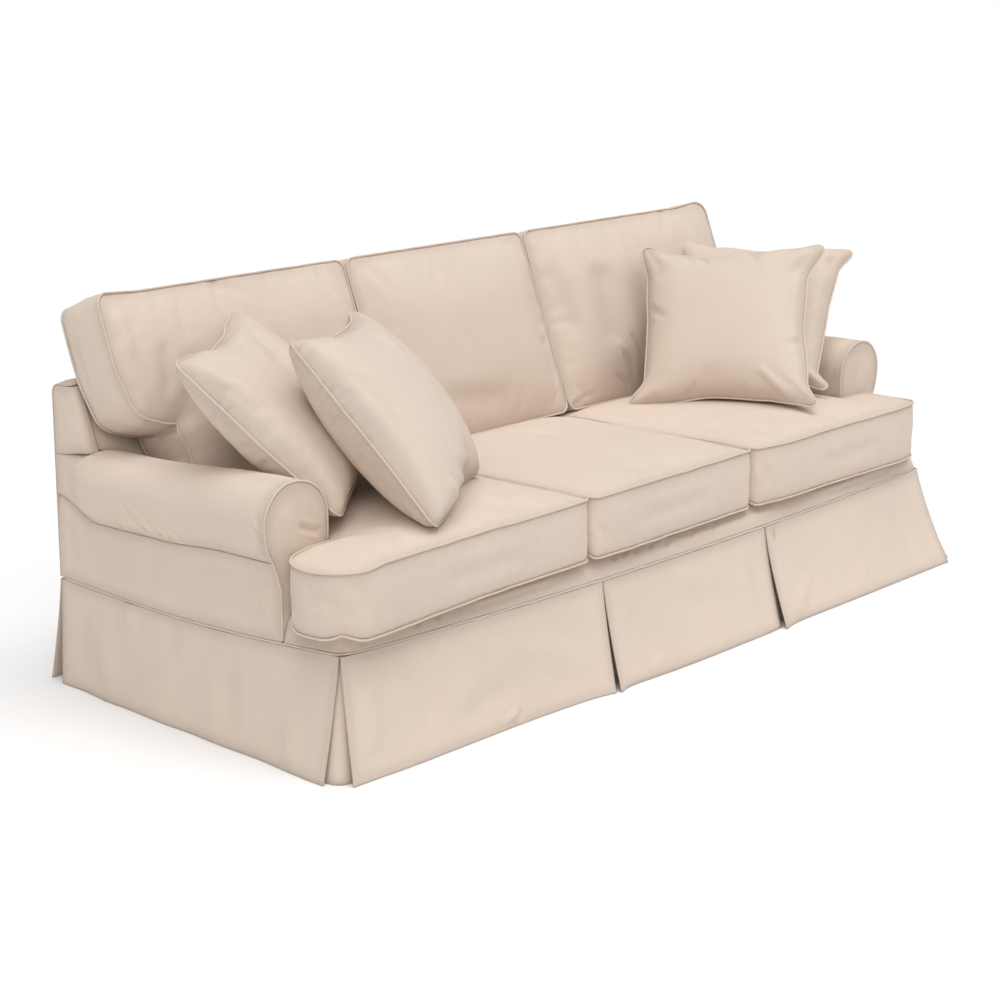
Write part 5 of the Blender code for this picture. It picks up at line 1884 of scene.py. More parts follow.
class FilledSet:
    """Covers that are made, swelled together, then finished."""

    slot: Slot
    fill: float

    def __init__(self, tailor: Tailor, padding: Padding, folds: dict[str, tuple[Fold, ...]]) -> None:
        """Take the tailor, the padding run and the folds by node."""
        self.tailor = tailor
        self.padding = padding
        self.folds = folds
        self.made: list[tuple] = []

    def finish_cover(self, item: bpy.types.Object, node: str) -> None:
        """Refine a swelled cover, press its folds in and dress it.

        Args:
            item: The cover.
            node: The node that it stands for.
        """
        shape_cloth(item, self.folds.get(node, ()), 0.0007, seed_of(node), True)
        item.data.shade_smooth()
        self.tailor.wardrobe.dress(item, self.slot, node)


class CushionSet(FilledSet):
    """A row of boxed cushions."""

    slot = Slot.CUSHION

    def finish(self) -> None:
        """Refine the filled covers and sew their welts."""
        for cushion, item in self.made:
            self.finish_cover(item, cushion.cut.name)
            cushion.sew(self.tailor)


class SeatCushions(CushionSet):
    """Three seat cushions on the deck; the outer two reach in front of the arms."""

    fill = 0.85
    front = -0.026
    back = 0.640
    corner = 0.02
    lobe_back = 0.150
    bottom_edge = 0.2975
    top_edge = 0.421
    crown = 0.034
    crown_reach = 0.26
    rest = 0.2893
    foot_depth = 0.5535
    foot_height = 0.4345
    foot_room = 0.0029
    droop = 0.013
    rim_sag: Table = ((-1.098, 0.020), (-0.98, 0.020), (-0.60, 0.012), (0.30, 0.011), (1.034, 0.015))
    rim_back = 0.004
    bow_back = 0.12
    bow: Table = (
        (-1.098, 0.008), (-1.03, 0.022), (-0.82, 0.012), (-0.60, 0.008), (-0.34, 0.004), (-0.20, 0.007),
        (0.0, 0.001), (0.28, -0.005), (0.44, 0.006), (0.62, 0.0), (0.92, 0.0), (1.034, -0.012),
    )
    rows = (
        CushionRow("seat_left", -0.925, -0.3265, -1.098, 0.072, 0.085),
        CushionRow("seat_centre", -0.3130, 0.2890),
        CushionRow("seat_right", 0.3025, 0.925, 1.034, 0.035, 0.055),
    )

    def world(self, x: Array, depth: Array, height: Array) -> Array:
        """Points of the cushions, whose front edges bow forward by the table."""
        bow = between(x, self.bow) * (1.0 - ease(depth, self.front, self.bow_back))
        return place(x, depth - bow, height)

    def cushion(self, row: CushionRow) -> Cushion:
        """Lay out one cushion."""
        lobe = row.lobe(self.front, self.lobe_back)
        plan = (row.left, row.right, self.front, self.back)
        cut = CushionCut(row.name, *plan, lobe, self.crown_reach, self.corner)

        def upper(x: Array, depth: Array, edge: Array) -> Array:
            """Height of the top skin, pressed down under the back cushions."""
            droop = self.droop * ease(-x, 0.97, 1.098)
            height = self.top_edge - droop + self.crown * cut.fill(x, depth)
            room = 2.0 * CLOTH.welt_radius * (1.0 - ease(edge, 0.0, 0.03))
            slope = (depth - self.foot_depth) * math.tan(BACK.lean)
            pressed = self.foot_height - self.foot_room - room - slope
            under = ease(depth, self.foot_depth - 0.05, self.foot_depth - 0.02)
            return height + (np.minimum(height, pressed) - height) * under

        def lower(x: Array, depth: Array, edge: Array) -> Array:
            """Height of the bottom skin, which sags past the rail in front and at the left."""
            over_front = 1.0 - ease(depth, self.front, self.rim_back)
            over_side = ease(-x, RAIL.half - 0.008, 1.098)
            sag = between(x, self.rim_sag) * np.maximum(over_front, over_side)
            return self.bottom_edge - (self.bottom_edge - self.rest) * ease(edge, 0.0, 0.07) - sag

        return Cushion(cut, upper, lower, self.world, (f"welt_{row.name}_top", f"welt_{row.name}_bottom"))

    def build(self) -> None:
        """Make each cover and hand it over for its filling."""
        for row in self.rows:
            cushion = self.cushion(row)
            item, held = cushion.build()
            depth = np.array([vertex.co.y for vertex in item.data.vertices]) - RAIL.front_y
            held = np.maximum(held, (depth > self.foot_depth - 0.03).astype(float))
            self.padding.add(item, held, pressure=3.0, slack=0.006, cap=0.012)
            self.made.append((cushion, item))

class BackCushions(CushionSet):
    """Three leaning back cushions on the seat; the outer two have ears over the arms."""

    fill = 0.7
    height = 0.463
    thickness = 0.134
    corner = 0.024
    crown = 0.040
    crown_reach = 0.17
    rear_dish = 0.006
    ear_bottom = 0.196
    ear_draw = 0.020
    ear_draw_top = 0.33
    ear_rise = 0.007
    ear_blend = 0.02
    ear_droop = 0.024
    waist_draw = 0.014
    waist_middle = 0.085
    waist_reach = 0.12
    body = 0.9305
    rows = (
        CushionRow("back_left", -0.9305, -0.3255, -1.052, 0.035, 0.028),
        CushionRow("back_centre", -0.3160, 0.3060),
        CushionRow("back_right", 0.3155, 0.9305, 1.082, 0.035, 0.045),
    )

    def draw_in(self, x: Array, rise: Array) -> tuple[Array, Array]:
        """Draw the cloth in at the ears and at the waist beside the arms.

        Args:
            x: Places across the cushion.
            rise: Places up the cushion.

        Returns:
            The new places.
        """
        away = np.abs(x)
        outside = ease(away, self.body - CLOTH.gap, self.body + self.ear_blend)
        ear = self.ear_draw * (1.0 - ease(rise, self.ear_bottom, self.ear_draw_top)) * outside
        beside = ease(away, self.body - self.waist_reach, self.body) * (1.0 - outside)
        curve = np.maximum(0.0, 1.0 - ((rise - self.waist_middle) / self.waist_middle) ** 2)
        waist = self.waist_draw * curve * beside
        lift = self.ear_rise * ease(rise, self.ear_draw_top, self.height)
        lift = lift * ease(away, self.body, self.body + self.waist_reach)
        droop = ease(-away, -1.045, -0.945) * ease(away, 0.80, self.body) * (x < 0.0)
        droop = droop * ease(rise, 0.04, self.ear_bottom)
        droop = droop * (1.0 - ease(rise, self.ear_bottom, self.ear_draw_top))
        return x - np.sign(x) * (ear + waist), rise + lift - self.ear_droop * droop

    def world(self, x: Array, rise: Array, thick: Array) -> Array:
        """Points of a leaning cushion, from its foot up and from its rear skin forward."""
        x, rise = self.draw_in(x, rise)
        sine, cosine = math.sin(BACK.lean), math.cos(BACK.lean)
        forward = self.thickness - thick
        depth = SeatCushions.foot_depth + sine * rise + cosine * forward
        return place(x, depth, SeatCushions.foot_height + cosine * rise - sine * forward)

    def cushion(self, row: CushionRow) -> Cushion:
        """Lay out one cushion."""
        lobe = row.lobe(self.ear_bottom, self.height)
        cut = CushionCut(row.name, row.left, row.right, 0.0, self.height, lobe, self.crown_reach, self.corner)

        def upper(x: Array, rise: Array, edge: Array) -> Array:
            """Height of the front skin."""
            return self.thickness + self.crown * cut.fill(x, rise)

        def lower(x: Array, rise: Array, edge: Array) -> Array:
            """Height of the rear skin, a little dished."""
            return self.rear_dish * (1.0 - ease(edge, 0.0, 0.06))

        return Cushion(cut, upper, lower, self.world, (f"welt_{row.name}_front", f"welt_{row.name}_rear"))

    def build(self) -> None:
        """Make each cover and hand it over for its filling."""
        for row in self.rows:
            cushion = self.cushion(row)
            item, held = cushion.build()
            self.padding.add(item, held, pressure=3.0, slack=0.012, cap=0.012)
            self.made.append((cushion, item))


# Pillows --------------------------------------------------------------------------------------------


@dataclass(frozen=True)
class PillowPose:
    """Where a pillow lies: its middle as (x, depth, height), its turn in degrees and its half thickness.

    The rims tell how far each side of its seam draws in, as (place along the side, distance).
    """

    name: str
    middle: Spot
    turn: Spot
    half_thickness: float
    left: Table
    right: Table
    bottom: Table
    top: Table

    def turning(self) -> Array:
        """Matrix that turns the pillow's own plane into place."""
        return np.array(Euler([math.radians(angle) for angle in self.turn], "XYZ").to_matrix())


PLAIN_RIM: Table = ((-1.0, 0.0), (-0.55, 0.022), (0.0, 0.034), (0.55, 0.022), (1.0, 0.0))


class Pillows(FilledSet):
    """Four knife edge throw pillows."""

    slot = Slot.PILLOW
    fill = 0.75
    side = 0.47
    ear = 0.022
    steps = 48
    welt_stand_off = 0.45
    poses = (
        PillowPose(
            "pillow_left_rear", (-0.8133, 0.395, 0.6275), (43.7, -4.2, 33.1), 0.080,
            left=((-1.0, 0.004), (0.0, -0.002), (0.6, 0.003), (1.0, 0.004)),
            right=((-1.0, 0.0), (-0.4, 0.024), (0.4, 0.024), (1.0, 0.004)),
            bottom=((-1.0, 0.024), (-0.3, 0.034), (0.2, 0.040), (1.0, 0.010)),
            top=((-1.0, -0.004), (-0.77, 0.002), (-0.1, 0.030), (0.33, 0.026), (0.64, 0.012), (1.0, 0.002)),
        ),
        PillowPose(
            "pillow_left_front", (-0.672, 0.233, 0.6313), (50.8, 1.0, 29.3), 0.095,
            left=((-1.0, 0.0), (-0.2, 0.008), (0.4, 0.002), (1.0, 0.0)),
            right=((-1.0, 0.010), (-0.4, 0.026), (0.4, 0.026), (1.0, 0.012)),
            bottom=((-1.0, -0.002), (-0.6, -0.002), (-0.1, 0.013), (0.2, 0.031), (0.6, 0.021), (1.0, 0.014)),
            top=((-1.0, 0.0), (-0.7, 0.014), (-0.2, 0.038), (0.5, 0.037), (0.75, 0.030), (1.0, 0.004)),
        ),
        PillowPose(
            "pillow_right_rear", (0.848, 0.3781, 0.6286), (40.5, 0.2, -65.3), 0.078,
            left=PLAIN_RIM,
            right=((-1.0, 0.004), (-0.74, 0.042), (-0.2, 0.042), (0.2, 0.042), (0.65, 0.035), (1.0, 0.004)),
            bottom=PLAIN_RIM,
            top=((-1.0, -0.004), (-0.5, 0.018), (0.0, 0.026), (0.6, 0.008), (1.0, 0.0)),
        ),
        PillowPose(
            "pillow_right_front", (0.649, 0.316, 0.6336), (49.7, -2.2, -60.5), 0.078,
            left=((-1.0, 0.0), (-0.67, 0.036), (-0.1, 0.034), (0.5, 0.024), (1.0, 0.0)),
            right=((-1.0, 0.0), (-0.7, 0.028), (0.0, 0.044), (0.54, 0.041), (1.0, 0.0)),
            bottom=((-1.0, 0.0), (-0.7, 0.006), (-0.1, 0.027), (0.45, 0.020), (0.75, 0.010), (1.0, 0.0)),
            top=((-1.0, 0.0), (-0.64, 0.026), (-0.3, 0.038), (0.25, 0.024), (0.65, 0.013), (1.0, -0.002)),
        ),
    )

    def pattern(self) -> tuple[Array, Array]:
        """Marks of the square pattern, closer together near the seams, from -1 to 1."""
        marks = np.linspace(-1.0, 1.0, self.steps + 1)
        marks = 0.6 * marks + 0.4 * np.sin(0.5 * math.pi * marks)
        return np.meshgrid(marks, marks, indexing="ij")

    def rim(self, pose: PillowPose, u: Array, v: Array) -> tuple[Array, Array]:
        """Places of the filled pillow's cloth in its own plane.

        Args:
            pose: The pillow.
            u: Marks across the pattern.
            v: Marks along it.

        Returns:
            x and y, with blunt ears and sides that draw in.
        """
        half = 0.5 * self.side
        ears = [(a * half, b * half, -a * self.ear, -b * self.ear) for a in (-1.0, 1.0) for b in (-1.0, 1.0)]
        x, y = round_corners(half * u, half * v, ears)
        u, v = x / half, y / half
        moved_x = x + 0.5 * (1.0 - u) * between(v, pose.left) - 0.5 * (1.0 + u) * between(v, pose.right)
        moved_y = y + 0.5 * (1.0 - v) * between(u, pose.bottom) - 0.5 * (1.0 + v) * between(u, pose.top)
        return moved_x, moved_y

    def build(self) -> None:
        """Make each cover and hand it over for its filling."""
        for pose in self.poses:
            u, v = self.pattern()
            half = 0.5 * self.side
            x, y = self.rim(pose, u, v)
            fill = np.maximum((1.0 - u * u) * (1.0 - v * v), 0.0) ** 0.40
            thick = pose.half_thickness * fill
            size = x.size
            number = np.arange(size).reshape(x.shape)
            front = grid_ring(number).reshape(-1, 4)
            rim = np.ones(x.shape, dtype=bool)
            rim[1:-1, 1:-1] = False
            rear_number = np.where(rim, number, size + np.cumsum(~rim.ravel()).reshape(x.shape) - 1)
            rear = rear_number.ravel()[front[:, ::-1]]
            local = np.stack([x, y, thick], axis=-1).reshape(-1, 3)
            local = np.vstack([local, np.stack([x, y, -thick], axis=-1)[~rim]])
            pattern = half * np.stack([u, v, 0.0 * u], axis=-1)
            flat = np.vstack([pattern.reshape(-1, 3), pattern[~rim]])
            cut = np.vstack([flat[front], flat[front[:, ::-1]] + 0.6])[..., :2].reshape(-1, 2)
            edge = half * np.minimum(1.0 - np.abs(u), 1.0 - np.abs(v))
            edge = np.concatenate([edge.ravel(), edge[~rim]])
            points = place(*pose.middle) + local @ pose.turning().T
            seam = 1.0 - ease(edge, 0.0, CLOTH.seam_shade_reach)
            item = new_object(pose.name + "_cover", points, np.vstack([front, rear]), cut, seam)
            last = self.steps
            walk = np.concatenate(
                [number[:last, 0], number[last, :last], number[last:0:-1, last], number[0, last:0:-1]]
            )
            crease(item.data, (walk,))
            held = np.zeros(len(points))
            held[walk] = 0.6
            self.padding.add(item, held, pressure=4.0, slack=0.012, cap=0.012)
            self.made.append((pose, item, walk))

    def finish(self) -> None:
        """Refine the filled covers and sew their welts."""
        for pose, item, walk in self.made:
            turning, middle = pose.turning(), place(*pose.middle)
            flat = (read_spots(item.data)[walk] - middle) @ turning
            out = loop_offsets(flat[:, :2], CLOTH.welt_reach * self.welt_stand_off)
            path = middle + (flat + np.column_stack([out, np.zeros(len(flat))])) @ turning.T
            self.finish_cover(item, pose.name)
            self.tailor.welt("welt_" + pose.name, path, True)


# Listed folds -----------------------------------------------------------------------------------------

BAND_FOLDS = fold_rows(
    (-234, -17, 264, -205, -10, 275, 6, -2.2),
    (-198, -16, 266, -166, -8, 278, 6, -2.6),
    (-155, -16, 266, -125, -10, 275, 7, -2.2),
    (-104, -17, 265, -75, -11, 274, 6, -2),
    (-50, -21, 259, -15, -11, 274, 7, -2.2),
    (48, -21, 258, 73, -13, 270, 6, -1.6),
    (134, -20, 259, 159, -13, 270, 6, -1.4),
    (-866, -13, 254, -841, -10, 269, 6, -1.8),
    (-805, -14, 257, -783, -11, 268, 6, -1.6),
    (-740, -12, 266, -542, -13, 267, -379, -16, 265, 6, 1.4),
    (-61, -18, 263, 168, -18, 262, 459, -16, 264, 6, 1.4),
    (503, -15, 265, 731, -11, 268, 977, -4, 273, 7, 1.4),
)
OUTSIDE_BACK_FOLDS = fold_rows(
    (-700, 861, 600, -660, 861, 450, -640, 858, 300, 40, -3.6),
    (-200, 861, 620, -180, 861, 480, -210, 858, 330, 45, 3.4),
    (420, 861, 600, 440, 861, 450, 410, 858, 290, 40, -3.6),
    (860, 861, 560, 900, 861, 420, 900, 858, 280, 35, 3),
)
POST_FOLDS = fold_rows(
    (-1050, 828, 669, -1067, 791, 622, -1067, 768, 560, 14, -2.2),
)
BACK_SIDE_FOLDS = {Side.LEFT: POST_FOLDS, Side.RIGHT: mirrored(POST_FOLDS)}
LEFT_ROLL_FOLDS = fold_rows(
    (-1080, 722, 400, -1072, 762, 412, -1069, 800, 428, 8, -5.5, FAR),
    (-1085, 630, 400, -1104, 647, 434, -1104, 678, 451, 8, -3.2, FAR),
    (-1092, 548, 410, -1106, 585, 451, -1109, 618, 474, 8, -4.2, FAR),
    (-1088, 500, 404, -1105, 531, 441, -1108, 563, 466, 8, -3.6, FAR),
    (-1089, 467, 404, -1101, 489, 428, -1106, 520, 456, 7, -3, FAR),
    (-1088, 430, 402, -1099, 443, 423, -1105, 460, 444, 8, -2, FAR),
    (-1093, 308, 408, -1099, 327, 427, -1107, 345, 448, 9, -1.4, FAR),
    (-1104, 166, 446, -1109, 190, 468, -1109, 214, 486, 6, -2.6, FAR),
    (-1109, 166, 470, -1110, 182, 492, -1108, 200, 512, 6, -2, FAR),
    (-1098, 166, 424, -1102, 196, 434, -1104, 232, 440, 6, -2.8, FAR),
    (-1078, 806, 489, -1086, 754, 511, -1050, 725, 529, 10, 2.4),
)
ROLL_FOLDS = {Side.LEFT: LEFT_ROLL_FOLDS, Side.RIGHT: mirrored(LEFT_ROLL_FOLDS[1:5], -0.14)}
LEFT_OUTER_FOLDS = fold_rows(
    (-1067, 834, 391, -1068, 822, 330, -1068, 800, 270, 22, -4),
    (-1069, 700, 350, -1069, 554, 335, -1068, 400, 325, 28, 2.6),
    (-1082, 170, 384, -1081, 222, 382, -1082, 290, 388, 10, -3.2, FAR),
    (-1069, 240, 360, -1068, 212, 318, -1068, 192, 262, 16, 2.2),
    (-1068, 330, 270, -1068, 420, 285, -1068, 520, 275, 20, -2),
)
OUTER_ARM_FOLDS = {Side.LEFT: LEFT_OUTER_FOLDS, Side.RIGHT: mirrored(LEFT_OUTER_FOLDS[1:3])}
LEFT_FACING_FOLDS = fold_rows(
    (-1030, 159, 470, -992, 159, 455, -953, 159, 441, 7, -3),
    (-1066, 159, 529, -1041, 159, 463, -1016, 159, 396, 20, 2.2),
)
FACING_FOLDS = {Side.LEFT: LEFT_FACING_FOLDS, Side.RIGHT: mirrored(LEFT_FACING_FOLDS[1:])}
SKIRT_FOLDS: dict[str, tuple[Fold, ...]] = {
    "skirt_left": fold_rows(
        (-1069, 630, 215, -1076, 616, 149, -1085, 600, 85, 20, 3.4, FAR),
        (-1069, 496, 211, -1078, 487, 154, -1092, 468, 85, 22, -3.4, FAR),
        (-1070, 722, 193, -1077, 709, 108, -1092, 667, 12, 24, 3.6),
        (-1098, 104, 114, -1118, 96, 60, -1136, 86, 4, 22, 3.4),
        (-1078, 311, 170, -1096, 300, 91, -1118, 262, 10, 26, -3.4),
        (-1072, 790, 200, -1075, 780, 110, -1080, 770, 10, 18, -3),
    ),
    "skirt_front_left": fold_rows(
        (-690, -86, 2, -655, -80, 14, -607, -75, 36, 9, 2.6),
        (-668, -86, 2, -635, -80, 12, -590, -75, 30, 7, -2.2),
        (-800, -69, 40, -695, -63, 69, -600, -64, 66, 26, -4),
        (-1017, -19, 184, -1022, -43, 106, -1045, -67, 30, 20, 3.6),
        (-905, -19, 208, -868, -41, 130, -858, -72, 39, 28, -4),
        (-572, -40, 165, -462, -58, 109, -359, -86, 51, 30, 4),
        (-760, -30, 170, -640, -40, 140, -520, -45, 150, 30, 2.8),
    ),
    "skirt_front_centre": fold_rows(
        (-235, -44, 180, -184, -70, 102, -161, -99, 28, 20, -3.6),
        (30, -66, 123, 82, -86, 67, 125, -107, 6, 26, 3.6),
        (-225, -108, 2, -176, -98, 22, -125, -93, 46, 8, 2.4),
        (-80, -50, 170, 20, -52, 165, 140, -60, 140, 30, 2.6),
        (250, -50, 170, 260, -75, 100, 270, -100, 20, 20, -2.8),
    ),
    "skirt_front_right": fold_rows(
        (372, -30, 215, 395, -55, 145, 410, -85, 65, 18, -4, FAR),
        (483, -70, 98, 436, -85, 61, 361, -108, 20, 16, 3.4),
        (887, -28, 190, 928, -57, 108, 925, -89, 26, 24, -3.4),
        (686, -45, 154, 688, -69, 91, 698, -95, 21, 28, 3.2),
        (430, -30, 215, 450, -34, 200, 470, -42, 180, 8, -1.6, FAR),
    ),
    "skirt_back": fold_rows(
        (-750, 860, 200, -760, 875, 110, -780, 895, 10, 30, 3.6),
        (-300, 860, 200, -290, 875, 110, -280, 893, 10, 34, -3.6),
        (180, 860, 200, 190, 878, 110, 210, 897, 10, 30, 3.6),
        (640, 860, 200, 630, 875, 110, 600, 893, 10, 32, -3.6),
    ),
}
SKIRT_FOLDS["skirt_right"] = mirrored(SKIRT_FOLDS["skirt_left"][1:5], -0.03)
SEAT_FOLDS: dict[str, tuple[Fold, ...]] = {
    "seat_left": fold_rows(
        (-1098, 75, 368, -1097, 21, 358, -1074, -23, 350, 14, -3),
        (-1050, -41, 405, -1042, -46, 358, -1033, -45, 312, 12, -2),
        (-986, 61, 432, -898, 73, 428, -870, 4, 428, 24, -3.4),
        (-575, 98, 446, -560, 16, 433, -440, -3, 429, 24, -3),
        (-860, -44, 350, -700, -42, 340, -500, -38, 350, 18, -2.6),
    ),
    "seat_centre": fold_rows(
        (-148, 31, 433, -30, 38, 434, 74, 2, 428, 22, -3.2),
        (-303, -31, 371, -284, -33, 334, -274, -31, 306, 10, -2.6),
        (-112, 416, 451, -40, 386, 452, -18, 282, 454, 28, -3.6),
        (-200, -34, 350, -50, -32, 345, 150, -30, 352, 16, -2.2),
    ),
    "seat_right": fold_rows(
        (317, -23, 406, 336, -28, 362, 349, -26, 321, 12, -3),
        (380, 200, 436, 408, 101, 438, 433, 1, 429, 22, -3),
        (970, -15, 423, 906, -16, 418, 835, -20, 417, 12, -2),
        (500, -26, 350, 700, -26, 345, 880, -24, 352, 16, -2.2),
    ),
}
BACK_FOLDS: dict[str, tuple[Fold, ...]] = {
    "back_left": fold_rows(
        (-930, 636, 588, -926, 687, 566, -922, 728, 546, 8, -5, FAR),
        (-926, 621, 581, -921, 670, 552, -917, 712, 530, 7, -4.4, FAR),
        (-922, 628, 566, -919, 656, 548, -914, 690, 528, 7, -3.6, FAR),
        (-1054, 800, 800, -1054, 768, 721, -1044, 745, 650, 14, -3.6),
        (-1018, 704, 861, -1018, 675, 801, -1017, 649, 730, 12, 2.2),
        (-936, 677, 768, -937, 654, 707, -946, 630, 640, 16, -3),
        (-728, 704, 859, -670, 687, 838, -600, 664, 790, 14, -2.2, FAR),
        (-417, 694, 846, -408, 671, 813, -368, 664, 774, 14, -2.4, FAR),
        (-860, 640, 640, -800, 640, 655, -740, 640, 650, 22, -3),
    ),
    "back_centre": fold_rows(
        (244, 611, 641, 262, 583, 554, 278, 557, 479, 18, -3),
        (-191, 565, 550, -58, 557, 518, 124, 556, 510, 26, -3),
        (-270, 700, 850, -230, 670, 800, -215, 640, 740, 14, -2, FAR),
    ),
    "back_right": fold_rows(
        (530, 650, 800, 515, 600, 670, 500, 560, 540, 46, -9),
        (330, 552, 438, 367, 552, 442, 415, 552, 445, 6, -3, FAR),
        (335, 552, 448, 375, 551, 458, 440, 552, 466, 7, -3.2, FAR),
        (516, 562, 559, 553, 558, 523, 580, 552, 472, 7, -2.6),
        (561, 575, 603, 591, 562, 561, 611, 557, 515, 7, -2.8),
        (485, 556, 507, 523, 553, 481, 564, 552, 443, 7, -2.4),
        (500, 570, 590, 540, 565, 555, 565, 558, 500, 6, 1.8),
        (363, 679, 809, 369, 634, 698, 388, 583, 574, 22, -3.4),
        (880, 700, 860, 850, 680, 820, 800, 660, 790, 16, -2.6, FAR),
    ),
}
PILLOW_FOLDS: dict[str, tuple[Fold, ...]] = {
    "pillow_left_rear": fold_rows(
        (-835, 560, 800, -870, 530, 785, -955, 455, 780, 10, -6),
        (-970, 440, 776, -867, 500, 784, -779, 524, 770, 12, 5),
        (-969, 426, 770, -897, 464, 776, -833, 473, 768, 9, -4.2),
        (-855, 500, 782, -815, 456, 753, -854, 359, 701, 34, -6),
        (-1082, 393, 765, -1026, 354, 727, -975, 301, 671, 22, 4),
        (-1048, 340, 700, -1052, 362, 680, -1045, 390, 660, 6, -3.4, FAR),
        (-1034, 322, 662, -1042, 345, 640, -1035, 375, 620, 6, -3.8, FAR),
        (-1042, 330, 682, -1048, 352, 660, -1040, 380, 640, 5, -3, FAR),
        (-1012, 292, 620, -1020, 316, 596, -1012, 345, 580, 7, -3.2, FAR),
        (-990, 262, 585, -1000, 285, 560, -990, 320, 545, 7, -4, FAR),
        (-1043, 364, 739, -1012, 326, 698, -985, 287, 649, 12, -2),
    ),
    "pillow_left_front": fold_rows(
        (-896, 178, 718, -902, 200, 695, -896, 228, 672, 6, -4, FAR),
        (-904, 190, 735, -912, 212, 712, -905, 240, 690, 5, -3.2, FAR),
        (-880, 146, 668, -888, 170, 645, -880, 200, 622, 6, -4, FAR),
        (-886, 156, 684, -894, 180, 660, -886, 208, 640, 5, -3, FAR),
        (-862, 112, 620, -870, 136, 596, -862, 165, 575, 7, -3, FAR),
        (-919, 235, 802, -930, 248, 785, -925, 270, 765, 6, -3, FAR),
        (-581, 438, 805, -699, 333, 807, -787, 275, 804, 10, -5.5),
        (-835, 257, 804, -736, 309, 806, -671, 326, 797, 10, 4),
        (-617, 396, 806, -655, 289, 774, -659, 211, 718, 24, 4),
        (-863, 190, 755, -823, 140, 694, -802, 84, 616, 16, -2.2),
        (-812, 0, 455, -815, 28, 490, -819, 60, 520, 9, -3.4, FAR),
        (-803, 0, 470, -803, 28, 525, -806, 47, 560, 9, 2.4),
        (-554, 127, 502, -686, 64, 540, -747, 58, 569, 14, -4.4, FAR),
        (-640, 100, 470, -700, 70, 490, -760, 50, 520, 10, 3),
    ),
    "pillow_right_front": fold_rows(
        (655, 584, 800, 616, 501, 759, 586, 421, 720, 16, -5, FAR),
        (851, 200, 809, 783, 198, 770, 715, 205, 732, 16, -4.6, FAR),
        (417, 430, 462, 445, 385, 509, 477, 341, 545, 14, -4.8, FAR),
        (630, 45, 474, 609, 95, 517, 585, 145, 545, 14, -5, FAR),
        (677, 478, 799, 651, 439, 782, 628, 396, 753, 10, -3.8, FAR),
        (746, 327, 803, 725, 287, 783, 707, 255, 758, 10, -3.6, FAR),
        (689, 436, 799, 663, 398, 780, 639, 373, 754, 8, -2.8, FAR),
        (543, 485, 667, 535, 444, 663, 529, 401, 648, 10, -2.6, FAR),
        (688, 111, 615, 658, 126, 612, 628, 141, 599, 10, -2.6, FAR),
        (485, 308, 473, 484, 296, 500, 498, 282, 525, 10, -2.6, FAR),
        (545, 199, 483, 543, 193, 509, 543, 205, 533, 10, -2.4, FAR),
        (600, 90, 490, 575, 130, 530, 560, 170, 570, 10, 2.6),
    ),
    "pillow_right_rear": fold_rows(
        (1058, 259, 775, 1001, 245, 746, 947, 233, 712, 14, -4.4, FAR),
        (872, 211, 656, 851, 177, 611, 814, 157, 566, 14, -3),
    ),
}


# Studio ---------------------------------------------------------------------------------------------


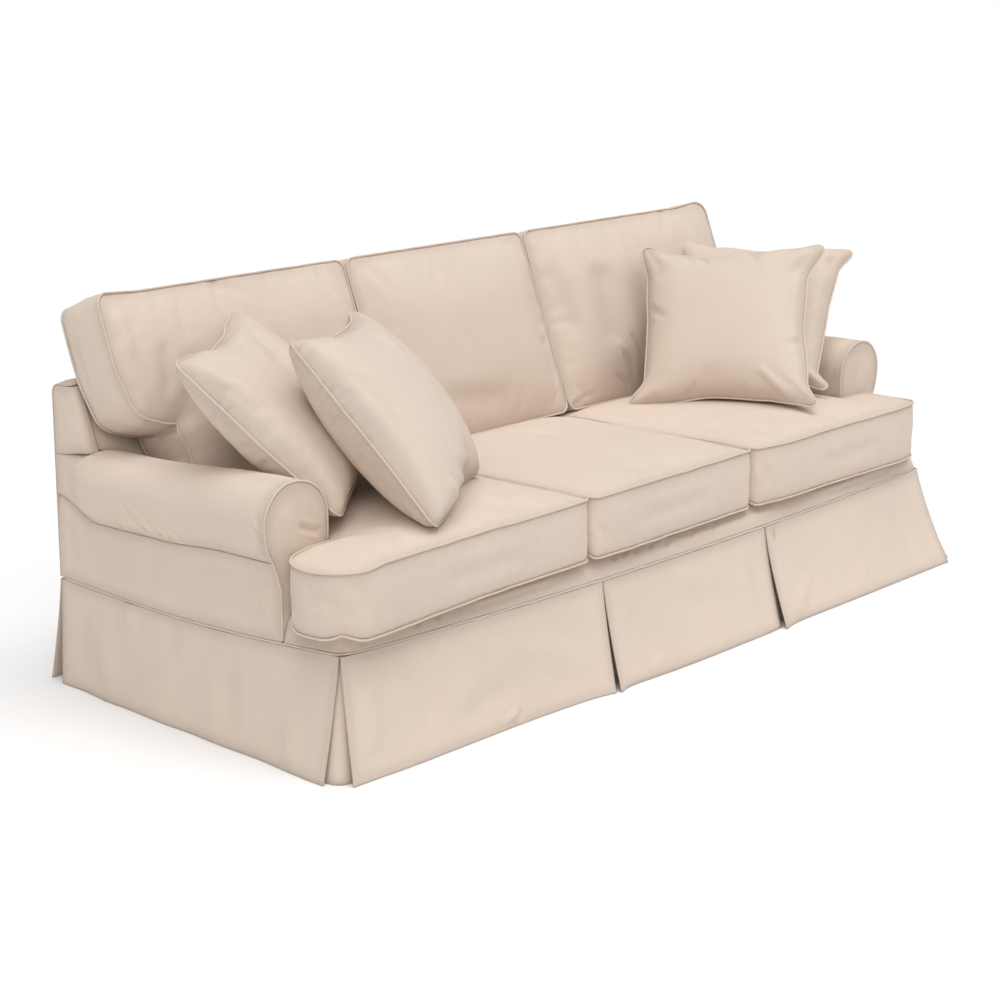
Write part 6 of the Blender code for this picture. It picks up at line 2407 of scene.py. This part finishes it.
class Studio:
    """Camera, pale floor and soft light."""

    camera_spot: Spot = (-4.1901, -3.5175, 1.6602)
    camera_aim: Spot = (-0.073, 0.0615, 0.293)
    lens = 85.3
    sensor = 36.0
    suns: tuple[tuple[str, Spot, float], ...] = (
        ("right", (0.50, -0.55, 0.67), 0.52),
        ("left", (-0.65, -0.45, 0.62), 0.98),
        ("above", (0.0, -0.10, 1.0), 1.69),
    )
    softness = math.radians(50.0)
    room_light = 0.247
    room_white = 1.0

    def camera(self) -> None:
        """Stand the camera at the photograph's place."""
        data = bpy.data.cameras.new("camera")
        data.lens = self.lens
        data.sensor_width = self.sensor
        item = bpy.data.objects.new("camera", data)
        item.location = self.camera_spot
        look = Vector(self.camera_aim) - Vector(self.camera_spot)
        item.rotation_euler = look.to_track_quat("-Z", "Y").to_euler()
        bpy.context.scene.collection.objects.link(item)
        bpy.context.scene.camera = item

    def floor(self) -> None:
        """Lay a plain pale floor."""
        bpy.ops.object.select_all(action="DESELECT")
        bpy.ops.mesh.primitive_plane_add(size=60.0, location=(0.0, 0.0, 0.0))
        floor = bpy.context.object
        floor.name = "studio_floor"
        made = bpy.data.materials.new("studio_floor")
        made.use_nodes = True
        shader = made.node_tree.nodes["Principled BSDF"]
        shader.inputs["Base Color"].default_value = (0.95, 0.95, 0.95, 1.0)
        shader.inputs["Roughness"].default_value = 0.9
        shader.inputs["Specular IOR Level"].default_value = 0.1
        floor.data.materials.append(made)

    def light(self) -> None:
        """Light the white room evenly, with a broad soft light from above and one from each side."""
        world = bpy.data.worlds.new("studio")
        world.use_nodes = True
        wiring = Wiring(world.node_tree)
        shader = world.node_tree.nodes["Background"]
        shader.inputs["Color"].default_value = (1.0, 1.0, 1.0, 1.0)
        seen = wiring.node("ShaderNodeLightPath").outputs["Is Camera Ray"]
        wiring.feed(shader, "Strength", wiring.ranged(seen, self.room_light, self.room_white))
        bpy.context.scene.world = world
        for name, way, power in self.suns:
            data = bpy.data.lights.new(name, "SUN")
            data.energy = power
            data.angle = self.softness
            item = bpy.data.objects.new(name, data)
            item.rotation_euler = Vector(way).to_track_quat("Z", "Y").to_euler()
            bpy.context.scene.collection.objects.link(item)

    def build(self) -> None:
        """Set the studio up."""
        self.camera()
        self.floor()
        self.light()
        bpy.context.scene.view_settings.view_transform = "Standard"


def main() -> None:
    """Build the sub-assemblies in order."""
    logging.basicConfig(level=logging.INFO, format="%(name)s: %(message)s")
    bpy.ops.object.select_all(action="DESELECT")
    Studio().build()
    tailor = Tailor(Wardrobe())
    padding = Padding()
    BodyCover(tailor).build()
    for side in Side:
        Arm(tailor, side).build()
    Skirt(tailor).build()
    filled = (
        SeatCushions(tailor, padding, SEAT_FOLDS),
        BackCushions(tailor, padding, BACK_FOLDS),
        Pillows(tailor, padding, PILLOW_FOLDS),
    )
    for group in filled:
        group.build()
    padding.run()
    for group in filled:
        group.finish()
    log.info("%d pieces, %d faces in all", tailor.wardrobe.count, tailor.wardrobe.faces)


if __name__ == "__main__":
    main()
